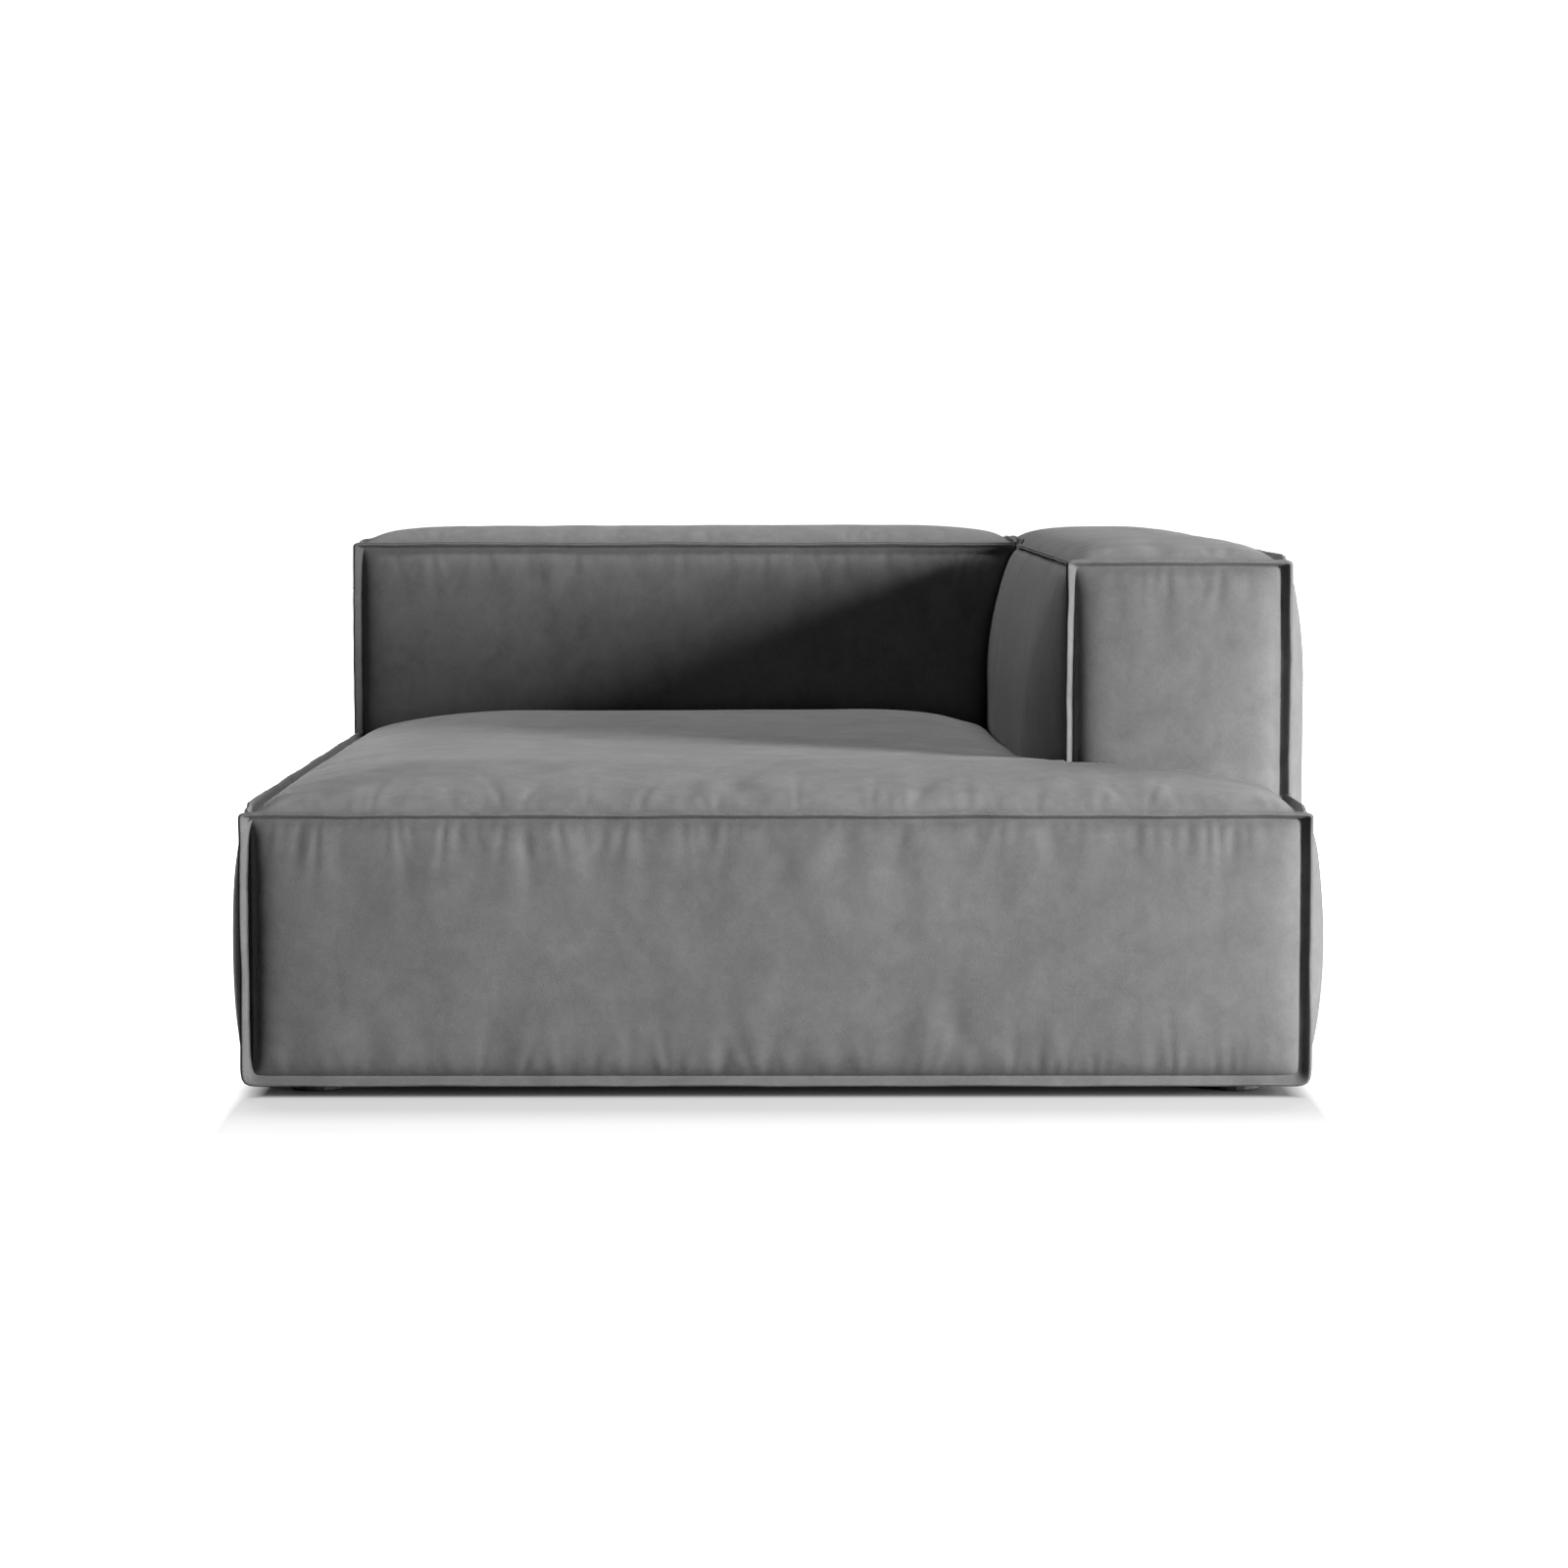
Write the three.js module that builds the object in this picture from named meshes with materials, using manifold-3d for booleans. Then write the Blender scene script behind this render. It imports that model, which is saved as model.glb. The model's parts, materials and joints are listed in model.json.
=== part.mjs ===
// Upholstered daybed: a deep seat block, a low back at the rear and one arm at the rear right.
// Millimetres, +Z up. The front faces -Y, and the arm is on the +X side.
// The origin is on the floor, under the centre of the daybed.

import * as THREE from 'three';
import { mergeVertices } from 'three/addons/utils/BufferGeometryUtils.js';
import Module from 'manifold-3d';

const wasm = await Module();
wasm.setup();

// ---------- driving dimensions ----------

const WIDTH = 1300;          // across the side seams
const DEPTH = 1680;          // from the front seam to the rear seam
const SEAT_SEAM = 352;       // height of the seat's top seam
const TOP_SEAM = 654;        // height of the top seam of the back and the arm
const BASE_SEAM = 17;        // height of the bottom seam, over the glides
const ARM_WIDTH = 278;
const ARM_SETBACK = 225;     // the arm starts this far behind the front seam
const BACK_THICKNESS = 280;

const SEAT_CROWN = 47;       // rise of each face over its seams
const BACK_CROWN = 24;
const ARM_CROWN = 33;
const SIDE_BULGE = 37;
const ARM_INNER_BULGE = 42;
const BACK_END_BULGE = 14;
const FRONT_BULGE = 26;
const ARM_FRONT_BULGE = 18;
const CROWN_REACH = 250;     // distance from a seam over which a face rises to its full height
const ARM_FALL_REACH = 1700; // the same for the seat's fall towards the arm, going back along it
const BACK_PRESS = 0.17;     // share of its crown that the seat loses where the back stands on it
const BACK_PRESS_REACH = 120;

const COVER = 3;             // cover fabric with its fibre lining
const CLEAR = 0.4;           // gap between pieces that touch
const BLOCK_GAP = 0.6;       // gap between the three upholstered blocks

const PADDING = 34;          // from the seam plane to the frame, on the outer faces
const THIN_PADDING = 8;      // the same on faces pressed against another block
const ARM_LEAN = 220;        // the arm's inner face leans into the end of the back this far back
const BACK_END_PADDING = 50; // padding over that end of the back
const BOARD = 24;            // frame boards
const PLY = 12;              // plywood sheets
const FRAME_BASE = 20;       // underside of the frame
const SEAT_FRAME_TOP = 190;
const CROSS_RAIL_TOP = 110;
const CROSS_RAIL_PLACES = { seat_front_cross_rail: -360, seat_rear_cross_rail: 100 };   // in Y
const FOAM_TOP = 320;        // top of the seat's foam core
const FOOT_BLOCK = 120;      // side of a corner block that takes a glide's stud
const FOOT_BLOCK_HEIGHT = 60;

const WEBBING_WIDTH = 70;
const WEBBING_THICKNESS = 2;

const FOOT_RADIUS = 36;
const FOOT_HEIGHT = 17.2;
const FOOT_EDGE = 2;         // bevel round the glide
const STUD_RADIUS = 5;
const STUD_TOP = 52;
const FOOT_INSET_X = 81;     // from the side seam to the glide's axis
const FOOT_INSET_Y = 90;     // from the front seam to the glide's axis

const BOLT_RADIUS = 5;
const BOLT_HEAD_RADIUS = 10;
const BOLT_HEAD_LENGTH = 6;
const BOLT_HEIGHT = 70;      // height of the joining bolts
const BOLT_END = 8;          // thread that stands out past the far board
const ARM_BOLT_PLACES = { front_arm_bolt: -430, rear_arm_bolt: 430 };    // in Y
const BACK_BOLT_PLACES = { left_back_bolt: -420, right_back_bolt: 160 }; // in X

const DUST_BASE = 17.6;
const DUST_THICKNESS = 1;

// ---------- places worked out from them ----------

const LEFT = -WIDTH / 2;
const RIGHT = WIDTH / 2;
const FRONT = -DEPTH / 2;
const REAR = DEPTH / 2;
const ARM_INNER = RIGHT - ARM_WIDTH;
const ARM_FRONT = FRONT + ARM_SETBACK;
const BACK_FRONT = REAR - BACK_THICKNESS;

const FRAME_LEFT = LEFT + PADDING;
const FRAME_RIGHT = RIGHT - PADDING;
const FRAME_FRONT = FRONT + PADDING;
const FRAME_REAR = REAR - PADDING;
const SEAT_FRAME_ARM_SIDE = ARM_INNER - THIN_PADDING;
const SEAT_FRAME_REAR = BACK_FRONT - THIN_PADDING;
const RETURN_FRAME_REAR = ARM_FRONT - THIN_PADDING;

// ---------- materials ----------

const material = (color, roughness, metalness = 0) =>
  new THREE.MeshStandardMaterial({ color, roughness, metalness });
const VELVET = material(0x7c7c7c, 0.85);
const FOAM = material(0xe9dfae, 0.95);
const TOPPER = material(0xf2f0ea, 0.95);
const PINE = material(0xcfae7c, 0.7);
const PLYWOOD = material(0xd8bd8e, 0.65);
const WEBBING = material(0x3a3a3c, 0.9);
const DUST_CLOTH = material(0x1c1c1d, 0.95);
const GLIDE = material(0x141414, 0.5);
const STEEL = material(0xa9abad, 0.35, 1);

// ---------- solids ----------

const daybed = new THREE.Group();

function solid(geometry) {
  const bare = geometry.index ? geometry.clone() : geometry;
  bare.deleteAttribute('normal');
  bare.deleteAttribute('uv');
  const merged = mergeVertices(bare, 1e-4);
  return new wasm.Manifold(new wasm.Mesh({
    numProp: 3,
    vertProperties: new Float32Array(merged.attributes.position.array),
    triVerts: new Uint32Array(merged.index.array),
  }));
}

function add(name, shape, surface) {
  let geometry = shape;
  if (!shape.isBufferGeometry) {
    const mesh = shape.getMesh();
    geometry = new THREE.BufferGeometry();
    geometry.setAttribute('position', new THREE.BufferAttribute(mesh.vertProperties, 3));
    geometry.setIndex(new THREE.BufferAttribute(mesh.triVerts, 1));
    geometry.computeVertexNormals();
  }
  const mesh = new THREE.Mesh(geometry, surface);
  mesh.name = name;
  daybed.add(mesh);
}

// A block between two corners, each [x, y, z].
function block(low, high) {
  const geometry = new THREE.BoxGeometry(high[0] - low[0], high[1] - low[1], high[2] - low[2]);
  return geometry.translate((low[0] + high[0]) / 2, (low[1] + high[1]) / 2, (low[2] + high[2]) / 2);
}

// How far a face has risen at a distance from its seam: 0 on the seam, 1 from reach onwards.
function rise(distance, reach) {
  const share = Math.min(Math.max(distance / reach, 0), 1);
  return 1 - (1 - share) ** 2;
}

// Share of the full rise at a place between two seams.
function riseBetween(value, low, high) {
  const reach = Math.min(CROWN_REACH, (high - low) / 2);
  return rise(value - low, reach) * rise(high - value, reach);
}

// How far one upright face swells at a place on it. face holds the amount, the stretch along the
// face that swells (from, to) and the height that the swelling starts at (above).
function swelling(face, side, sideLow, sideHigh, up, upHigh) {
  return face.amount * riseBetween(side, face.from ?? sideLow, face.to ?? sideHigh)
    * riseBetween(up, face.above ?? BASE_SEAM, upHigh);
}

const FLAT = { amount: 0 };

// Moves the grid line nearest to a place exactly onto it, and stretches the grid on both sides.
function alignGrid(value, low, high, steps, place) {
  const nearest = Math.round(steps * (place - low) / (high - low));
  const line = low + (high - low) * nearest / steps;
  if (value <= line) return low + (value - low) * (place - low) / (line - low);
  return high - (high - value) * (high - place) / (high - line);
}

// A box whose faces swell between its edges. Each of left, right, front and rear is as swelling()
// takes it, and top(x, y) is how far the top rises. lineY and lineZ, where given, get a grid line.
function crownedBox(low, high, steps, faces) {
  const { left = FLAT, right = FLAT, front = FLAT, rear = FLAT, top, lineY, lineZ } = faces;
  const plain = new THREE.BoxGeometry(
    high[0] - low[0], high[1] - low[1], high[2] - low[2], steps[0], steps[1], steps[2]);
  plain.translate((low[0] + high[0]) / 2, (low[1] + high[1]) / 2, (low[2] + high[2]) / 2);
  plain.deleteAttribute('normal');
  plain.deleteAttribute('uv');
  const box = mergeVertices(plain, 1e-4);
  const place = box.attributes.position;
  const near = (a, b) => Math.abs(a - b) < 0.01;
  for (let i = 0; i < place.count; i += 1) {
    const x = place.getX(i);
    let [y, z] = [place.getY(i), place.getZ(i)];
    if (lineY !== undefined) y = alignGrid(y, low[1], high[1], steps[1], lineY);
    if (lineZ !== undefined) z = alignGrid(z, low[2], high[2], steps[2], lineZ);
    let [dx, dy, dz] = [0, 0, 0];
    if (near(x, low[0])) dx -= swelling(left, y, low[1], high[1], z, high[2]);
    if (near(x, high[0])) dx += swelling(right, y, low[1], high[1], z, high[2]);
    if (near(y, low[1])) dy -= swelling(front, x, low[0], high[0], z, high[2]);
    if (near(y, high[1])) dy += swelling(rear, x, low[0], high[0], z, high[2]);
    if (near(z, high[2])) dz += top(x, y);
    place.setXYZ(i, x + dx, y + dy, z + dz);
  }
  return box;
}

// A cylinder between two points on a line along one axis ('x', 'y' or 'z').
function rod(axis, centre, radius, length, segments = 12) {
  const geometry = new THREE.CylinderGeometry(radius, radius, length, segments);
  if (axis === 'x') geometry.rotateZ(-Math.PI / 2);
  if (axis === 'z') geometry.rotateX(Math.PI / 2);
  return geometry.translate(...centre);
}

// ---------- glides ----------

const FOOT_X = RIGHT - FOOT_INSET_X;
const FOOT_Y = REAR - FOOT_INSET_Y;
const FEET = [];
for (const [side, x] of [['left', -FOOT_X], ['right', FOOT_X]]) {
  for (const [row, y] of [['front', -FOOT_Y], ['middle', 0], ['rear', FOOT_Y]]) {
    FEET.push({ name: `${row}_${side}_glide`, x, y });
  }
}

function glide() {
  const profile = [
    [0, 0], [FOOT_RADIUS - FOOT_EDGE, 0], [FOOT_RADIUS, FOOT_EDGE],
    [FOOT_RADIUS, FOOT_HEIGHT - FOOT_EDGE], [FOOT_RADIUS - FOOT_EDGE, FOOT_HEIGHT],
    [STUD_RADIUS, FOOT_HEIGHT], [STUD_RADIUS, STUD_TOP], [0, STUD_TOP],
  ].map(([r, z]) => new THREE.Vector2(r, z));
  return new THREE.LatheGeometry(profile, 20).rotateX(Math.PI / 2);
}

// ---------- joining bolts ----------

const ARM_FOAM = 40;                       // foam between the arm's cover and its inner board
const BACK_FOAM = 50;
const ARM_FRAME_INNER = ARM_INNER + ARM_FOAM;
const BACK_FRAME_FRONT = BACK_FRONT + BACK_FOAM;

const BOLTS = [];
for (const [name, y] of Object.entries(ARM_BOLT_PLACES)) {
  BOLTS.push({ name, axis: 'x', from: SEAT_FRAME_ARM_SIDE - BOARD, to: ARM_FRAME_INNER + PLY, y });
}
for (const [name, x] of Object.entries(BACK_BOLT_PLACES)) {
  BOLTS.push({ name, axis: 'y', from: SEAT_FRAME_REAR - BOARD, to: BACK_FRAME_FRONT + PLY, x });
}

function bolt({ axis, from, to, x, y }) {
  const length = to - from + BOLT_END;
  const profile = [
    [0, -BOLT_HEAD_LENGTH - CLEAR], [BOLT_HEAD_RADIUS, -BOLT_HEAD_LENGTH - CLEAR],
    [BOLT_HEAD_RADIUS, -CLEAR], [BOLT_RADIUS, -CLEAR], [BOLT_RADIUS, length], [0, length],
  ].map(([r, along]) => new THREE.Vector2(r, along));
  const geometry = new THREE.LatheGeometry(profile, 12);
  if (axis === 'x') return geometry.rotateZ(-Math.PI / 2).translate(from, y, BOLT_HEIGHT);
  return geometry.translate(x, from, BOLT_HEIGHT);
}

// Everything that the studs and bolts pass through is bored by this one solid.
function bores() {
  const beyond = 2;
  const studs = FEET.map(({ x, y }) =>
    solid(rod('z', [x, y, STUD_TOP / 2], STUD_RADIUS + CLEAR, STUD_TOP + beyond)));
  const shanks = BOLTS.map(({ axis, from, to, x, y }) => {
    const middle = (from + to) / 2;
    const centre = axis === 'x' ? [middle, y, BOLT_HEIGHT] : [x, middle, BOLT_HEIGHT];
    return solid(rod(axis, centre, BOLT_RADIUS + CLEAR, to - from + 2 * beyond));
  });
  return [...studs, ...shanks].reduce((all, one) => all.add(one));
}

const BORES = bores();
const bored = (geometry) => solid(geometry).subtract(BORES);

function addFittings() {
  for (const { name, x, y } of FEET) add(name, glide().translate(x, y, 0), GLIDE);
  for (const one of BOLTS) add(one.name, bolt(one), STEEL);
}

// ---------- covers ----------

// Every upholstered form starts below the bottom seam and is cut off where its piece ends.
const FORM_BASE = BASE_SEAM - 5;
const BEYOND = 100;
const OVER_CORE = FOAM_TOP + 2;   // the arm and the back swell over the seat from here up

function above(height) {
  return solid(block(
    [LEFT - BEYOND, FRONT - BEYOND, height], [RIGHT + BEYOND, REAR + BEYOND, TOP_SEAM + BEYOND]));
}

// The cover of a form: its outer layer, open underneath.
function coverOf(form) {
  return form(0).subtract(form(COVER)).intersect(above(BASE_SEAM)).subtract(BORES);
}

// ---------- outer forms, drawn in by inset from the outside of the covers ----------

const BACK_LOW = [LEFT, BACK_FRONT + BLOCK_GAP, BASE_SEAM];
const BACK_HIGH = [ARM_INNER - BLOCK_GAP, REAR, TOP_SEAM];
const ARM_LOW = [ARM_INNER + BLOCK_GAP, ARM_FRONT + BLOCK_GAP, BASE_SEAM];
const ARM_HIGH = [RIGHT, REAR, TOP_SEAM];

const crown = (amount, low, high) => (x, y) =>
  amount * riseBetween(x, low[0], high[0]) * riseBetween(y, low[1], high[1]);

const insetCorners = (low, high, inset) => [
  [low[0] + inset, low[1] + inset, FORM_BASE], high.map((value) => value - inset)];

function backForm(inset) {
  const [low, high] = insetCorners(BACK_LOW, BACK_HIGH, inset);
  const form = solid(crownedBox(low, high, [10, 4, 6], {
    left: { amount: BACK_END_BULGE },
    front: { amount: FRONT_BULGE, above: OVER_CORE },
    rear: { amount: FRONT_BULGE },
    top: crown(BACK_CROWN, low, high),
    lineZ: OVER_CORE,
  }));
  return form.subtract(armForm(-inset - BLOCK_GAP));
}

function armForm(inset) {
  const [low, high] = insetCorners(ARM_LOW, ARM_HIGH, inset);
  return solid(crownedBox(low, high, [4, 12, 6], {
    left: { amount: ARM_INNER_BULGE, above: OVER_CORE, to: BACK_FRONT + ARM_LEAN },
    right: { amount: SIDE_BULGE },
    front: { amount: ARM_FRONT_BULGE, above: OVER_CORE },
    rear: { amount: FRONT_BULGE },
    top: crown(ARM_CROWN, low, high),
    lineY: BACK_FRONT + ARM_LEAN,
    lineZ: OVER_CORE,
  }));
}

// The seat's crown falls towards the arm, the more so the further back, and a little under the back.
function seatCrown(x, y) {
  const free = rise(x - LEFT, CROWN_REACH) * rise(RIGHT - x, CROWN_REACH) * rise(y - FRONT, CROWN_REACH);
  const fall = rise(y - ARM_FRONT, ARM_FALL_REACH) * (1 - rise(ARM_INNER - x, CROWN_REACH));
  const pressed = BACK_PRESS * (1 - rise(BACK_FRONT - y, BACK_PRESS_REACH));
  return SEAT_CROWN * free * (1 - fall) * (1 - pressed);
}

// The arm and the back lean into the seat's top, so the seat is cut by their forms.
function seatForm(inset) {
  const high = [RIGHT - inset, BACK_FRONT - inset, SEAT_SEAM - inset];
  const form = solid(crownedBox([LEFT + inset, FRONT + inset, FORM_BASE], high, [13, 14, 4], {
    left: { amount: SIDE_BULGE },
    right: { amount: SIDE_BULGE, to: ARM_FRONT },
    front: { amount: FRONT_BULGE },
    top: seatCrown,
  }));
  const notch = block([ARM_INNER - inset, ARM_FRONT - inset, 0], [RIGHT + BEYOND, REAR, TOP_SEAM]);
  const distance = inset + BLOCK_GAP;
  return form.subtract(solid(notch)).subtract(armForm(-distance)).subtract(backForm(-distance));
}

// ---------- seat ----------

function seatFrame() {
  const boards = {
    seat_front_rail: [[FRAME_LEFT, FRAME_FRONT], [FRAME_RIGHT, FRAME_FRONT + BOARD]],
    seat_left_rail: [
      [FRAME_LEFT, FRAME_FRONT + BOARD + CLEAR],
      [FRAME_LEFT + BOARD, SEAT_FRAME_REAR - BOARD - CLEAR]],
    seat_rear_rail: [
      [FRAME_LEFT, SEAT_FRAME_REAR - BOARD], [SEAT_FRAME_ARM_SIDE - BOARD - CLEAR, SEAT_FRAME_REAR]],
    seat_arm_side_rail: [
      [SEAT_FRAME_ARM_SIDE - BOARD, FRAME_FRONT + BOARD + CLEAR],
      [SEAT_FRAME_ARM_SIDE, SEAT_FRAME_REAR]],
    seat_return_rear_rail: [
      [SEAT_FRAME_ARM_SIDE + CLEAR, RETURN_FRAME_REAR - BOARD],
      [FRAME_RIGHT - BOARD - CLEAR, RETURN_FRAME_REAR]],
    seat_return_end_rail: [
      [FRAME_RIGHT - BOARD, FRAME_FRONT + BOARD + CLEAR], [FRAME_RIGHT, RETURN_FRAME_REAR]],
  };
  for (const [name, [low, high]] of Object.entries(boards)) {
    add(name, bored(block([...low, FRAME_BASE], [...high, SEAT_FRAME_TOP])), PINE);
  }
  for (const [name, y] of Object.entries(CROSS_RAIL_PLACES)) {
    const low = [FRAME_LEFT + BOARD + CLEAR, y - BOARD / 2, FRAME_BASE];
    add(name, block(low, [SEAT_FRAME_ARM_SIDE - BOARD - CLEAR, y + BOARD / 2, CROSS_RAIL_TOP]), PINE);
  }
}

// A three-cornered block glued into a frame corner; direction is the way it reaches in X.
function cornerBlock(x, y, direction) {
  const corner = new THREE.Shape([
    new THREE.Vector2(0, 0), new THREE.Vector2(FOOT_BLOCK, 0), new THREE.Vector2(0, FOOT_BLOCK)]);
  const prism = new THREE.ExtrudeGeometry(corner, { depth: FOOT_BLOCK_HEIGHT, bevelEnabled: false });
  if (direction < 0) prism.rotateZ(Math.PI / 2);
  return prism.translate(x, y, FRAME_BASE);
}

function seatFootBlocks() {
  const inside = BOARD + CLEAR;
  const y = FRAME_FRONT + inside;
  add('seat_left_corner_block', bored(cornerBlock(FRAME_LEFT + inside, y, 1)), PINE);
  add('seat_right_corner_block', bored(cornerBlock(FRAME_RIGHT - inside, y, -1)), PINE);
  const low = [FRAME_LEFT + inside, -FOOT_BLOCK / 2, FRAME_BASE];
  const high = [low[0] + FOOT_BLOCK / 2, FOOT_BLOCK / 2, FRAME_BASE + FOOT_BLOCK_HEIGHT];
  add('seat_middle_foot_block', bored(block(low, high)), PINE);
}

// Elastic straps, stapled to the tops of the rails: crosswise ones first, lengthwise ones over them.
function seatWebbing() {
  const base = SEAT_FRAME_TOP + CLEAR;
  const span = SEAT_FRAME_REAR - FRAME_FRONT;
  const crosswise = 5;
  for (let i = 0; i < crosswise; i += 1) {
    const y = FRAME_FRONT + span * (i + 0.5) / crosswise;
    add(`cross_webbing_${i + 1}`, block(
      [FRAME_LEFT, y - WEBBING_WIDTH / 2, base],
      [SEAT_FRAME_ARM_SIDE, y + WEBBING_WIDTH / 2, base + WEBBING_THICKNESS]), WEBBING);
  }
  const over = base + WEBBING_THICKNESS + CLEAR;
  const breadth = SEAT_FRAME_ARM_SIDE - FRAME_LEFT;
  const lengthwise = 3;
  for (let i = 0; i < lengthwise; i += 1) {
    const x = FRAME_LEFT + breadth * (i + 0.5) / lengthwise;
    add(`long_webbing_${i + 1}`, block(
      [x - WEBBING_WIDTH / 2, FRAME_FRONT, over],
      [x + WEBBING_WIDTH / 2, SEAT_FRAME_REAR, over + WEBBING_THICKNESS]), WEBBING);
  }
  const x = (SEAT_FRAME_ARM_SIDE + FRAME_RIGHT) / 2;
  add('return_webbing', block(
    [x - WEBBING_WIDTH / 2, FRAME_FRONT, over],
    [x + WEBBING_WIDTH / 2, RETURN_FRAME_REAR, over + WEBBING_THICKNESS]), WEBBING);
}

function seatFoam() {
  const base = SEAT_FRAME_TOP + 2 * (WEBBING_THICKNESS + CLEAR) + CLEAR;
  add('seat_foam_core', block(
    [FRAME_LEFT, FRAME_FRONT, base], [SEAT_FRAME_ARM_SIDE, SEAT_FRAME_REAR, FOAM_TOP]), FOAM);
  add('seat_return_foam', block(
    [SEAT_FRAME_ARM_SIDE + CLEAR, FRAME_FRONT, base],
    [FRAME_RIGHT, RETURN_FRAME_REAR, FOAM_TOP]), FOAM);
  const inside = seatForm(COVER + CLEAR);
  add('seat_topper', inside.intersect(above(FOAM_TOP + CLEAR)), TOPPER);
  const pads = {
    seat_front_pad: [[LEFT - BEYOND, FRONT - BEYOND], [RIGHT + BEYOND, FRAME_FRONT - CLEAR]],
    seat_left_pad: [[LEFT - BEYOND, FRAME_FRONT], [FRAME_LEFT - CLEAR, SEAT_FRAME_REAR]],
    seat_return_pad: [[FRAME_RIGHT + CLEAR, FRAME_FRONT], [RIGHT + BEYOND, RETURN_FRAME_REAR]],
  };
  for (const [name, [low, high]] of Object.entries(pads)) {
    const region = block([...low, FRAME_BASE], [...high, FOAM_TOP]);
    add(name, inside.intersect(solid(region)), FOAM);
  }
}

// ---------- cloth under each block ----------

// A thin sheet along an outline of [x, y] corners.
function dustCloth(outline) {
  const sheet = new THREE.Shape(outline.map(([x, y]) => new THREE.Vector2(x, y)));
  const geometry = new THREE.ExtrudeGeometry(sheet, { depth: DUST_THICKNESS, bevelEnabled: false });
  return bored(geometry.translate(0, 0, DUST_BASE));
}

const SHEET_INSET = COVER + CLEAR;

function addSeat() {
  seatFrame();
  seatFootBlocks();
  seatWebbing();
  seatFoam();
  add('seat_cover', coverOf(seatForm), VELVET);
  add('seat_dust_cloth', dustCloth([
    [LEFT + SHEET_INSET, FRONT + SHEET_INSET], [RIGHT - SHEET_INSET, FRONT + SHEET_INSET],
    [RIGHT - SHEET_INSET, ARM_FRONT - SHEET_INSET], [ARM_INNER - SHEET_INSET, ARM_FRONT - SHEET_INSET],
    [ARM_INNER - SHEET_INSET, BACK_FRONT - SHEET_INSET], [LEFT + SHEET_INSET, BACK_FRONT - SHEET_INSET],
  ]), DUST_CLOTH);
}

// ---------- back and arm ----------

const RAIL_HEIGHT = 40;
const POST = 40;
const JACKET_TOP = 50;                          // foam over the top of each frame
const FRAME_TOP = TOP_SEAM - JACKET_TOP;

// Cover, foam jacket and dust cloth of a block that stands on the floor. form(inset) gives its outer
// form drawn in by inset, frame is the box that the frame fills, and cloth is its outline.
function upholster(name, form, frame, cloth) {
  add(`${name}_cover`, coverOf(form), VELVET);
  const core = block(
    [frame.low[0] - CLEAR, frame.low[1] - CLEAR, 0],
    [frame.high[0] + CLEAR, frame.high[1] + CLEAR, FRAME_TOP + CLEAR]);
  const jacket = form(COVER + CLEAR).intersect(above(FRAME_BASE)).subtract(solid(core)).subtract(BORES);
  add(`${name}_foam_jacket`, jacket, FOAM);
  const [low, high] = cloth;
  add(`${name}_dust_cloth`, dustCloth([
    [low[0] + SHEET_INSET, low[1] + SHEET_INSET], [high[0] - SHEET_INSET, low[1] + SHEET_INSET],
    [high[0] - SHEET_INSET, high[1] - SHEET_INSET], [low[0] + SHEET_INSET, high[1] - SHEET_INSET],
  ]), DUST_CLOTH);
}

function addBack() {
  const frame = {
    low: [FRAME_LEFT, BACK_FRAME_FRONT], high: [ARM_INNER - BACK_END_PADDING, FRAME_REAR],
  };
  upholster('back', backForm, frame, [BACK_LOW, BACK_HIGH]);
  const inner = [BACK_FRAME_FRONT + PLY + CLEAR, FRAME_REAR - PLY - CLEAR];
  add('back_front_board', bored(block(
    [...frame.low, FRAME_BASE], [frame.high[0], BACK_FRAME_FRONT + PLY, FRAME_TOP])), PLYWOOD);
  add('back_rear_board', block(
    [frame.low[0], FRAME_REAR - PLY, FRAME_BASE], [...frame.high, FRAME_TOP]), PLYWOOD);
  add('back_bottom_rail', bored(block(
    [frame.low[0], inner[0], FRAME_BASE],
    [frame.high[0], inner[1], FRAME_BASE + RAIL_HEIGHT])), PINE);
  add('back_top_rail', block(
    [frame.low[0], inner[0], FRAME_TOP - RAIL_HEIGHT], [frame.high[0], inner[1], FRAME_TOP]), PINE);
  for (const [name, x] of [['left', frame.low[0]], ['right', frame.high[0] - POST]]) {
    add(`back_${name}_post`, block(
      [x, inner[0], FRAME_BASE + RAIL_HEIGHT + CLEAR],
      [x + POST, inner[1], FRAME_TOP - RAIL_HEIGHT - CLEAR]), PINE);
  }
}

function addArm() {
  const frame = {
    low: [ARM_FRAME_INNER, ARM_FRONT + PADDING], high: [FRAME_RIGHT, FRAME_REAR],
  };
  upholster('arm', armForm, frame, [ARM_LOW, ARM_HIGH]);
  const inner = [ARM_FRAME_INNER + PLY + CLEAR, FRAME_RIGHT - PLY - CLEAR];
  add('arm_inner_board', bored(block(
    [...frame.low, FRAME_BASE], [ARM_FRAME_INNER + PLY, frame.high[1], FRAME_TOP])), PLYWOOD);
  add('arm_outer_board', block(
    [FRAME_RIGHT - PLY, frame.low[1], FRAME_BASE], [...frame.high, FRAME_TOP]), PLYWOOD);
  add('arm_bottom_rail', bored(block(
    [inner[0], frame.low[1], FRAME_BASE],
    [inner[1], frame.high[1], FRAME_BASE + RAIL_HEIGHT])), PINE);
  add('arm_top_rail', block(
    [inner[0], frame.low[1], FRAME_TOP - RAIL_HEIGHT], [inner[1], frame.high[1], FRAME_TOP]), PINE);
  const middle = (frame.low[1] + frame.high[1] - POST) / 2;
  const posts = [['front', frame.low[1]], ['middle', middle], ['rear', frame.high[1] - POST]];
  for (const [name, y] of posts) {
    add(`arm_${name}_post`, block(
      [inner[0], y, FRAME_BASE + RAIL_HEIGHT + CLEAR],
      [inner[1], y + POST, FRAME_TOP - RAIL_HEIGHT - CLEAR]), PINE);
  }
}

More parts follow.
